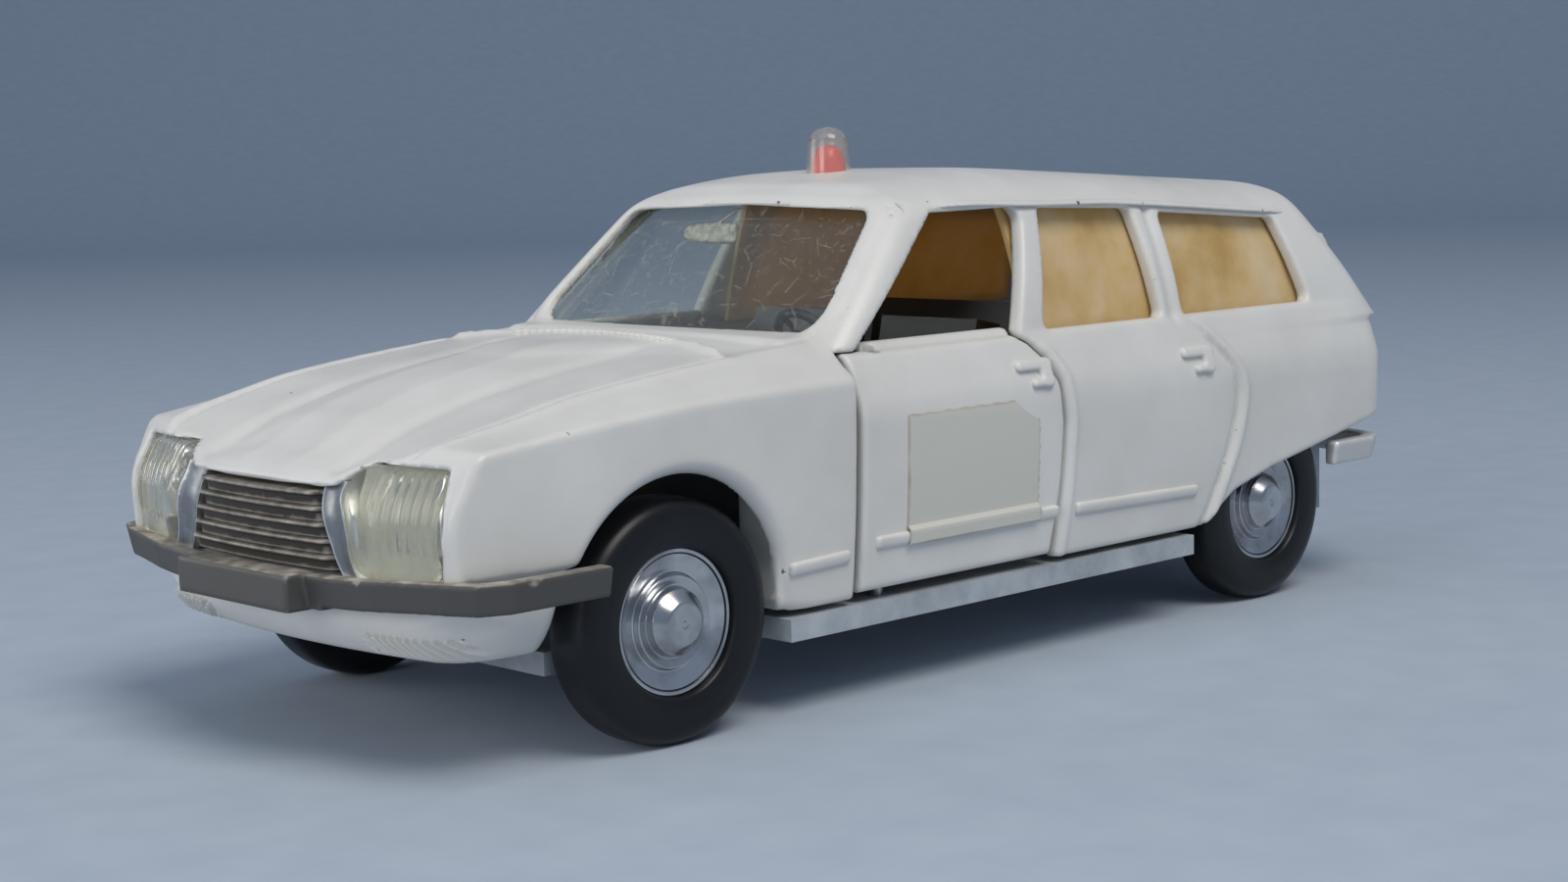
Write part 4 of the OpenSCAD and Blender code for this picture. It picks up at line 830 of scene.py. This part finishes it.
def mirror_field(p):
    x, y, z = p.T
    narrow = 0.7 - 0.26 * np.clip((-3.6 - y) / 2.6, 0, 1) ** 2
    glass = both(np.abs(x - 6.2 + 0.3 * (z - 28.5)) - 0.28, np.abs(y + 3.6) - 2.6, 0.26)
    glass = both(glass, np.abs(z - 28.5) - narrow, 0.3)
    t = np.clip((z - 28.9) / 1.5, 0, 1)
    stem = meet(np.hypot(x - 6.1 + 0.75 * t, y + 3.3 - 1.7 * t) - 0.2, 28.9 - z, z - 30.35)
    return np.minimum(glass, stem)


def gate_glass_field(p):
    x, y, z = folded(p)
    face = gate_face(x, y, z)
    edge = rounded(y, gate_place(x, z)[0], GATE_WINDOW, 0.9) + 0.1
    return both(np.maximum(face + 0.3, -(face + 1.0)), edge, 0.1)


# Clear polystyrene, a little green, with dust and lint on it.
dusty_clear = clear_material("dusty_clear_polystyrene", "#e6ebe6", 0.03, 0.26, lint=0.22)
screen = skin_object("windscreen_moulding", *skin(screen_field, (2.6, -15.2, 21.6), (15.4, 15.2, 31.6), 0.28),
                     dusty_clear)
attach(screen, "car_body")
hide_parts("windscreen")

# The same plastic where it is frosted and glitters.
frosted = clouded("frosted_glittering_plastic", 2300, 2, [(0.38, "#9b9893"), (0.62, "#cbc8c2")], 0.3,
                  grain=(2300, 2, 0.2))[0]
mirror = skin_object("interior_mirror", *skin(mirror_field, (4.6, -6.7, 27.4), (7.2, -0.6, 30.8), 0.14),
                     frosted)
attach(mirror, "car_body")

rear_glass = skin_object("tailgate_window_pane",
                         *mirrored(gate_glass_field, (-48.0, 0, 21.6), (-36.5, 14, 31.5), 0.25), dusty_clear)
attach(rear_glass, "tailgate")
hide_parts("tailgate_window")

# Curtains
# Sheets of tan card behind both rear side windows, a little buckled.
# They are stained and faded with age, and some light comes through them.
CURTAIN_X, CURTAIN_LENGTH, CURTAIN_FOOT, CURTAIN_TOP = -37.6, 32.3, 21.3, 30.2
CARD_THICK, CARD_DEPTH, GUTTER_GAP = 0.35, 1.2, 0.35


def squares(n, m):
    """Grid of n by m places that run from 0 to 1."""
    return np.meshgrid(np.linspace(0, 1, n), np.linspace(0, 1, m), indexing="ij")


def sheet(x, y, z):
    return np.stack([x, y, z], -1)


def slab(name, front, back, material, sharp=35):
    """Closed solid between two grids of points."""
    n, m = front.shape[:2]
    points = np.concatenate([front.reshape(-1, 3), back.reshape(-1, 3)]) * MM
    at = np.arange(n * m).reshape(n, m)
    face = np.stack([at[:-1, :-1], at[1:, :-1], at[1:, 1:], at[:-1, 1:]], -1).reshape(-1, 4)
    ring = np.concatenate([at[:-1, 0], at[-1, :-1], at[:0:-1, -1], at[0, :0:-1]])
    after = np.roll(ring, -1)
    rim = np.stack([after, ring, ring + n * m, after + n * m], 1)
    faces = np.concatenate([face, face[:, ::-1] + n * m, rim])
    return solid(name, points, faces.tolist(), material, sharp)


# Tan card, mottled with old stains.
card, tree, shader = clouded("aged_tan_card", 170, 5, [(0.3, "#dcbc78"), (0.47, "#f0d89c"), (0.68, "#fcedc4")],
                             0.55, 0.62, (1900, 2, 0.12))
glow = node(tree, "ShaderNodeBsdfTranslucent", in_Color=linear("#fbcb62"))
through = node(tree, "ShaderNodeMixShader", in_0=0.4, in_1=shader.outputs[0], in_2=glow.outputs[0])
fill(tree.nodes["Material Output"], Surface=through.outputs[0])
u, v = squares(90, 24)
x = CURTAIN_X + u * CURTAIN_LENGTH
z = CURTAIN_FOOT + v * (np.minimum(curve(GUTTER, x) - GUTTER_GAP, CURTAIN_TOP) - CURTAIN_FOOT)
buckle = 0.06 + 0.05 * np.sin(x * 0.8 + 1.3 * np.sin(z * 0.5)) + 0.02 * np.sin(x * 2.3 + z)
outer = halving(lambda y: 0.95 * (y - cabin_side(x, z)) + CARD_DEPTH < 0, x, 5.0, 20.0) - buckle
for side, name in SIDES:
    curtain = slab("curtain_card_" + name, sheet(x, side * outer, z),
                   sheet(x, side * (outer - CARD_THICK), z), card)
    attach(curtain, "car_body")
    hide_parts("curtain_" + name)

# Grille
# A dark metallised moulding with five leaning slats whose front edges are bright, partly worn and partly a
# painted highlight.
# Bright webs part it from the lamps, and satin pans lie behind the lenses.
EDGE_NOISE = 0.08
SLATS, SLAT_Z, SLAT_PITCH, SLAT_HALF, SLAT_SPREAD = 5, 11.72, 0.9, 7.6, -0.045
SLAT = [(-0.46, 0.0), (-0.45, 0.12), (-0.43, 0.26), (-0.41, 0.4), (-0.38, 0.5), (-0.32, 0.57), (-0.12, 0.6),
        (-0.05, 0.63), (-0.02, 0.68), (-0.02, 0.74), (-0.05, 0.8), (-0.12, 0.85), (-0.3, 0.88), (-1.0, 0.89),
        (-1.7, 0.89), (-1.7, 0.0), (-0.9, 0.0)]
WEB_EDGE = [(11.5, 8.0), (12.4, 7.5), (13.3, 7.15), (14.2, 6.82), (15.1, 6.5), (16.9, 6.15)]
LENS_EDGE = [(11.5, 9.6), (12.2, 9.2), (13.0, 9.0), (14.0, 8.95), (15.0, 8.67), (16.0, 8.2), (17.0, 8.3),
             (17.5, 8.8), (18.0, 9.7)]


def plated(name, dark, bright, edge_low, edge_high, rough_low, dust=0.0, dust_colour="#a99c86", metallic=0.9):
    """Metallised plastic: bright on its edges, partly wear and partly a painted highlight, clouded, and dusty
    on what faces up.
    """
    material, tree, shader = new_material(name)
    form = node(tree, "ShaderNodeNewGeometry").outputs
    fine, wide = noise(tree, 900, 4), noise(tree, 150, 3)
    edge = maths(tree, "MULTIPLY_ADD", fine, EDGE_NOISE, form["Pointiness"])
    # Painted highlight: edges that the pointiness finds convex turn to the bright colour, which also stands
    # for wear.
    worn_and_highlit = mapped(tree, edge, edge_low + EDGE_NOISE / 2, edge_high + EDGE_NOISE / 2)
    up = node(tree, "ShaderNodeSeparateXYZ", in_0=form["Normal"]).outputs[2]
    lying = maths(tree, "MULTIPLY", mapped(tree, up, 0.55, 0.9), mapped(tree, wide, 0.25, 0.6))
    specks = maths(tree, "MULTIPLY", lying, mapped(tree, fine, 0.3, 0.62, 0.25))
    cover = maths(tree, "MULTIPLY", specks, dust)
    metal = blend(tree, worn_and_highlit, linear(dark), linear(bright))
    fill(shader, Base_Color=blend(tree, cover, metal, linear(dust_colour)),
         Metallic=mapped(tree, cover, 0, 1, metallic, 0),
         Roughness=mapped(tree, wide, 0.3, 0.7, rough_low, rough_low + 0.2),
         Normal=bump(tree, fine, 0.1, 0.00008))
    return material


# Dark metallised plastic for the slats, bright for the webs, and satin for the lamp pans.
dark_plating = plated("dark_metallised_plastic_worn_and_highlit", "#46413b", "#b9b1a5", 0.51, 0.57, 0.36, 0.25,
                      metallic=0.55)
bright_plating = plated("bright_metallised_plastic", "#82888d", "#d4d6d6", 0.5, 0.56, 0.22, metallic=0.7)
satin_plating = plated("satin_metallised_lamp_pan", "#cbcac4", "#e2e1dc", 0.5, 0.56, 0.4, metallic=0.5)
rings = np.array([[(nose_line(y) + dx - 0.6 * ease((abs(y) - 6.85) / 0.75), y, SLAT_Z + dz) for dx, dz in SLAT]
                  for y in np.linspace(-SLAT_HALF, SLAT_HALF, 77)])
slats = repeated(loft("grille_slats", rings, dark_plating), SLATS, (0, 0, SLAT_PITCH), SLAT_SPREAD)
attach(slats, "car_body")
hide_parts("grille")

u, v = squares(24, 40)
z = 11.5 + v * 5.3
edge_y = curve(WEB_EDGE, z)
y = edge_y + u * (curve(LENS_EDGE, z) + 0.1 - edge_y)
face_x = nose_line(y) + curve(NOSE_LEAN, z) - 0.5 + 0.35 * ease(u) - 0.15 * np.sin(np.pi * u)
deep_x = nose_line(y) - 2.2
pan_u, pan_v = squares(30, 24)
pan_y, pan_z = 8.6 + pan_u * 7.5, 11.55 + pan_v * 6.1
pan_x = nose_line(pan_y) + curve(NOSE_LEAN, pan_z)
bowl = (1 - (2 * pan_u - 1) ** 2) * (1 - (2 * pan_v - 1) ** 2)
for side, name in SIDES:
    web = slab("grille_web_" + name, sheet(face_x, side * y, z), sheet(deep_x, side * y, z), bright_plating)
    pan = slab("lamp_pan_" + name, sheet(pan_x - 1.3 - 0.45 * bowl, side * pan_y, pan_z),
               sheet(pan_x - 2.1, side * pan_y, pan_z), satin_plating)
    for made in (web, pan):
        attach(made, "car_body")

# Headlamp lenses
# Clear lenses with fine upright ribs, each with a smooth swelling at the inner end.
# A plain band runs along the bottom.
LENS_FAR_EDGE = [(11.5, 15.88), (13.0, 15.98), (14.0, 16.05), (15.0, 16.05), (16.0, 15.9), (17.0, 15.65),
                 (18.0, 15.4)]
RIB_DEPTH, RIB_WIDTH, LENS_THICK = 0.1, 0.72, 0.75
# Clear polystyrene under an even haze.
clear_lens = clear_material("clear_ribbed_polystyrene", "#eaebe3", 0.07, 0.2, "#b9b8b0", haze=0.5)
u, v = squares(200, 40)
z = 11.52 + v * 6.2
near_y = curve(LENS_EDGE, z)
y = near_y + 0.08 + u * (curve(LENS_FAR_EDGE, z) - near_y - 0.08)
swell = 0.3 * hump((u - 0.14) / 0.15) * np.sin(np.pi * v)
ribbed = ease((u - 0.28) / 0.08) * ease((0.985 - u) / 0.02) * ease((z - 12.9) / 0.4)
ribs = RIB_DEPTH * np.cos(2 * np.pi * y / RIB_WIDTH) * ribbed
roll = 0.5 * (np.abs(2 * u - 1) ** 16 + np.abs(2 * v - 1) ** 16)
lie = nose_line(y) + curve(NOSE_LEAN, z) - 0.08 + swell
for side, name in SIDES:
    lens = slab("lamp_lens_" + name, sheet(lie + ribs - roll, side * y, z),
                sheet(lie - LENS_THICK, side * y, z), clear_lens, 60)
    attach(lens, "car_body")
    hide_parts("headlamp_lens_" + name)

# Bumpers
# Bars of metallised plastic that wrap round the corners, the front one dark and the rear one silver.
# The front bar carries a plate block, and beige dust lies on its top.
BUMPER = [(47.1, 0), (46.8, 6.4), (46.25, 11.5), (45.2, 16.5), (44.2, 18.5), (42.3, 19.4), (28, 19.4)]
REAR_BUMPER = [(48.0, 0), (47.7, 6.4), (47.15, 11.5), (46.1, 14.9), (45.1, 16.9), (43.2, 17.8), (30, 17.8)]


def bar(x, y, z, half, top, end):
    plan = outline(x, y, half + [(a, -b) for a, b in half[:0:-1]])
    shell = both(plan + 0.36 * (top - z) / 1.8, -(plan + 1.2), 0.14)
    return both(both(shell, np.abs(z - top + 0.9) - 0.9, 0.16), end - x, 0.25)


def front_bumper_field(p):
    x, y, z = folded(p)
    rise = 0.38 * ease((y - 7) / 10)
    made = bar(x, y, z - rise, BUMPER, 11.5, 35.3)
    chip = np.sqrt((x - 41.0) ** 2 + (p[:, 1] - 19.5) ** 2 + (z - 12.0) ** 2) - 0.55
    made = without(made, chip, 0.05)
    block = both(both(np.abs(x - 46.95) - 1.02, y - 5.8, 0.14), np.abs(z - 10.5) - 1.1, 0.14)
    foot = both(both(np.abs(x - 46.0) - 0.5, np.abs(y - 6.4) - 0.6, 0.1), np.abs(z - 9.9) - 0.4, 0.1)
    return np.minimum(np.minimum(made, block), foot)


def rear_bumper_field(p):
    return bar(-p[:, 0], np.abs(p[:, 1]), p[:, 2], REAR_BUMPER, 11.1, 38.2)


# Dark plating in front and tarnished silver behind, both worn and with a painted highlight along their edges.
bumper_plating = plated("grey_metallised_bumper_worn_and_highlit", "#5a5855", "#98958d", 0.56, 0.62, 0.42, 1.0,
                        "#c2b9aa", 0.4)
tarnished_plating = plated("tarnished_silver_bumper", "#dad9d6", "#f1f0ec", 0.52, 0.58, 0.32, 0.1,
                           metallic=0.5)
for end, field, low, high, h, material in (
        ("front", front_bumper_field, (34.6, -20.1, 9.0), (48.6, 20.1, 12.5), 0.2, bumper_plating),
        ("rear", rear_bumper_field, (-48.6, -18.4, 8.8), (-37.6, 18.4, 11.6), 0.24, tarnished_plating)):
    made = skin_object(end + "_bumper_bar", *skin(field, low, high, h), material)
    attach(made, "car_body")
    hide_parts(end + "_bumper")

# Tail lamps
# Red lenses with fine flutes, let into the tail beside the tailgate.
# The photo doesn't show them, so they follow toys of this kind.
def tail_lamp_field(p):
    x, y, z = p.T
    flute = 0.05 * np.cos(2 * np.pi * z / 0.6)
    block = both(np.abs(y - TAIL_LAMP_Y) - 1.0, np.abs(z - TAIL_LAMP_Z) - 2.4, 0.3)
    return both(block, np.maximum(-47.05 - x + flute, x + 45.9), 0.22)


# Red plastic that lets a little light in.
red, tree, shader = clouded("red_moulded_plastic", 600, 3, [(0, "#c52f35"), (1, "#e65a5c")], 0.22)
fill(shader, Subsurface_Weight=0.2, Subsurface_Radius=(0.0006, 0.0002, 0.0002))
lamp_skin = skin(tail_lamp_field, (-47.6, 12.0, 13.8), (-45.4, 14.8, 19.6), 0.13)
for side, name in SIDES:
    lamp = skin_object("tail_lamp_lens_" + name, *handed(*lamp_skin, side), red)
    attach(lamp, "car_body")
    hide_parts("tail_lamp_" + name)

# Roof beacon
# A clear hollow dome, dusty and open below, stands over a red cone.
# Both sit on the middle of the roof, a little ahead of its highest line.
BEACON, CORNER = (-1.6, 0, 32.5), 0.12
DOME = [(0, 3.4), (0.5, 3.36), (1.0, 3.12), (1.32, 2.68), (1.44, 2.1), (1.56, 0.4), (1.57, 0.3), (1.57, 0),
        (1.36, 0), (1.35, 0.5), (1.24, 2.05), (1.06, 2.5), (0.55, 2.88), (0, 2.98)]
CORE = [(0, 2.2), (0.45, 2.13), (0.8, 1.86), (1.06, 1.32), (1.18, 0.7), (1.26, 0.1), (1.15, 0), (0, 0)]


def lathe(name, profile, place, axis, material, segments, sharp=40, side=1):
    """Turned solid: profile of radius and distance along the axis, from pole to pole or closed."""
    turn = np.linspace(0, 2 * np.pi, segments, endpoint=False)
    points, rings = [], []
    for r, s in profile:
        spin = turn if r > 1e-6 else turn[:1]
        rings.append(range(len(points), len(points) + len(spin)))
        points.extend((r * np.cos(t), r * np.sin(t), s) for t in spin)
    closed = len(rings[0]) > 1
    faces = []
    for a, b in zip(rings, rings[1:] + (rings[:1] if closed else [])):
        for j in range(segments):
            k = (j + 1) % segments
            corners = [a[j % len(a)], b[j % len(b)], b[k % len(b)], a[k % len(a)]]
            faces.append(list(dict.fromkeys(corners)))
    p = np.array(points, float)
    if axis == "y":
        p = np.stack([p[:, 0], side * p[:, 2], p[:, 1]], 1)
    return solid(name, (p + np.array(place)) * MM, faces, material, sharp)


def smooth_profile(points):
    """Rounds a profile by cutting its corners twice."""
    p = np.array(points, float)
    for _ in range(2):
        made = [p[0]]
        for a, b in zip(p[:-1], p[1:]):
            far = np.linalg.norm(b - a)
            cut = min(0.25, CORNER / max(far, 1e-6))
            made += [a + (b - a) * cut, b - (b - a) * cut]
        p = np.array(made + [p[-1]])
    return [tuple(q) for q in p]


# Clear plastic, dulled by pale dust.
clear_dome = clear_material("clear_beacon_plastic", "#f0eee8", 0.05, 0.22, "#e3dad2", haze=0.45)
dome = lathe("beacon_dome_cover", smooth_profile(DOME), BEACON, "z", clear_dome, 72, 60)
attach(dome, "car_body")
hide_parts("beacon_dome")
core = lathe("beacon_red_core", smooth_profile(CORE), BEACON, "z", red, 48)
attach(core, "car_body")
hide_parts("beacon_core")

# Wheels
# Polished hubs turned from aluminium with stepped rings, in smooth tyres of satin black rubber.
# The hubs' rims lie a little inside the tyres' faces, and their middles stand out.
HUB = [(0, 0.9), (0.12, 0.9), (0.2, 0.86), (0.3, 0.9), (1.22, 0.93), (1.34, 0.86), (1.9, 0.32), (2.0, 0.26),
       (2.06, -0.16), (2.14, -0.26), (2.6, -0.08), (2.72, -0.06), (2.78, -0.12), (2.86, -0.44), (3.0, -0.46),
       (4.0, -0.12), (4.12, 0.02), (4.3, 0.04), (4.4, -0.05), (4.4, -0.5), (3.96, -0.5), (3.96, -3.2),
       (0.75, -3.2), (0.75, -0.6), (0, -0.6)]
TYRE = [(4.42, -0.55), (4.45, -0.3), (4.62, -0.12), (5.4, 0.0), (6.3, -0.04), (6.85, -0.22), (7.2, -0.58),
        (7.34, -1.1), (7.35, -1.8), (7.35, -2.7), (7.25, -3.2), (6.9, -3.55), (6.4, -3.7), (5.0, -3.7),
        (3.97, -3.5), (3.97, -0.55)]
HUB_INSET, FRONT_TRACK, REAR_TRACK = 0.55, 34.6, 33.4
# Bare aluminium, brushed in rings by turning.
turned, tree, shader = clouded("turned_aluminium", 420, 4, [(0.3, "#9fa2a5"), (0.6, "#cccdd0")], (0.3, 0.14))
fill(shader, Metallic=1, Anisotropic=0.5)
# Black rubber with a faint bloom.
rubber, tree, shader = clouded("satin_black_rubber", 220, 5, [(0.35, "#0d0e10"), (0.75, "#181a1d")],
                               (0.27, 0.42))
fill(shader, Specular_IOR_Level=0.35)
for end, axle_x, track in (("front", FRONT_AXLE, FRONT_TRACK), ("rear", REAR_AXLE, REAR_TRACK)):
    for side, name in SIDES:
        place = (axle_x, side * track / 2, AXLE_Z)
        hub = lathe(f"{end}_hub_turned_{name}", smooth_profile([(r, s - HUB_INSET) for r, s in HUB]),
                    place, "y", turned, 112, 30, side)
        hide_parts(f"{end}_hub_{name}")
        tyre = lathe(f"{end}_tyre_rubber_{name}", smooth_profile(TYRE + TYRE[:1])[:-1],
                     place, "y", rubber, 112, 50, side)
        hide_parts(f"{end}_tyre_{name}")
        for made in (hub, tyre):
            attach(made, end + "_wheels")

# Door labels
# A square of old paper on each door, laid over the rubbing strip.
# It is torn at one corner and stained round the edge.
LABEL_FRONT, LABEL_LENGTH, LABEL_FOOT, LABEL_HEIGHT = 9.8, 12.7, 9.45, 8.3
# Old paper: grey white, with brown stains that come in from its edges.
paper_label, tree, shader = new_material("aged_label_paper")
place = node(tree, "ShaderNodeTexCoord").outputs["Object"]
axes = node(tree, "ShaderNodeSeparateXYZ", in_0=place).outputs
near = []
for axis, middle, inner, outer in ((0, 3.45, 5.9, 6.5), (2, 13.6, 3.7, 4.3)):
    away = maths(tree, "ABSOLUTE", maths(tree, "SUBTRACT", axes[axis], middle * MM))
    near.append(mapped(tree, away, inner * MM, outer * MM))
blot = noise(tree, 420, 5, 0.65)
dirt = mapped(tree, maths(tree, "MULTIPLY", maths(tree, "MAXIMUM", *near), blot), 0.2, 0.7)
fill(shader, Base_Color=blend(tree, dirt, linear("#d3d1c6"), linear("#a08865")), Roughness=0.6,
     Normal=bump(tree, blot, 0.25, 0.0002))
u, v = squares(70, 60)
torn = 0.2 * np.clip((v - 0.83) / 0.17, 0, 1) ** 0.7 + 0.006 * np.sin(v * 70) * np.sin(v * 23)
x = LABEL_FRONT - LABEL_LENGTH * u * (1 - torn)
z = LABEL_FOOT + LABEL_HEIGHT * v + 0.03 * np.sin(u * 40) * (v > 0.98)
over_strip = 0.32 * ease((z - 9.3) / 0.25) * ease((10.75 - z) / 0.4)
lie = side_y(x, z) + over_strip
for side, name in SIDES:
    label = slab("paper_label_" + name, sheet(x, side * (lie + 0.1), z),
                 sheet(x, side * (lie + 0.02), z), paper_label)
    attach(label, name + "_door")
    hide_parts("door_label_" + name)

# Interior, baseplate and small metal pieces
# The black tub, dashboard and wheel, the plate under the car and the steel pins keep their built shapes.
# Their edges are eased, and each takes its own finish: worn, with painted highlights on the metal's edges and
# painted shade in the plate's grey.
WELD, BEVEL_STEPS, BEVEL_ANGLE = 0.00001, 3, 35
# Black plastic with a fine grain, and dull grey enamel for the plate, darkened and cooled below the body's
# cream as painted shade and dirt.
black = clouded("black_moulded_plastic", 160, 4, [(0.35, "#131417"), (0.75, "#26282b")], 0.38,
                grain=(1500, 3, 0.15))[0]
# Painted shade and dirt: the plate's grey is darker and bluer than the body's cream enamel.
grey_plate_shaded_and_dirty = clouded("grey_enamel_plate_painted_shade_and_dirt", 260, 5, [(0.35, "#9aa1a6"), (0.65, "#bcc2c6")], 0.45, 0.6)[0]
# Drawn steel for the pins and axles, and spun zinc for the rivets.
steel = plated("drawn_steel_wire", "#8c8d8e", "#c2c3c4", 0.52, 0.6, 0.22)
rivet_zinc = plated("spun_zinc_rivet", "#8b8c8b", "#bfc0bd", 0.52, 0.58, 0.3)
for name, material, soft in (
        ("interior_tub", black, 0.35), ("dashboard", black, 0.4), ("steering_wheel", black, 0),
        ("baseplate", grey_plate_shaded_and_dirty, 0.3), ("baseplate_rivets", rivet_zinc, 0.12),
        ("door_hinge_pin_left", steel, 0.08), ("door_hinge_pin_right", steel, 0.08),
        ("tailgate_hinge_pins", steel, 0.08), ("front_axle", steel, 0.1), ("rear_axle", steel, 0.1)):
    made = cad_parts[name]
    made.data.materials.clear()
    made.data.materials.append(material)
    weld = made.modifiers.new("weld", "WELD")
    weld.merge_threshold = WELD
    if soft:
        ease_edges = made.modifiers.new("eased_edges", "BEVEL")
        ease_edges.width = soft * MM
        ease_edges.segments = BEVEL_STEPS
        ease_edges.limit_method = "ANGLE"
        ease_edges.angle_limit = math.radians(BEVEL_ANGLE)
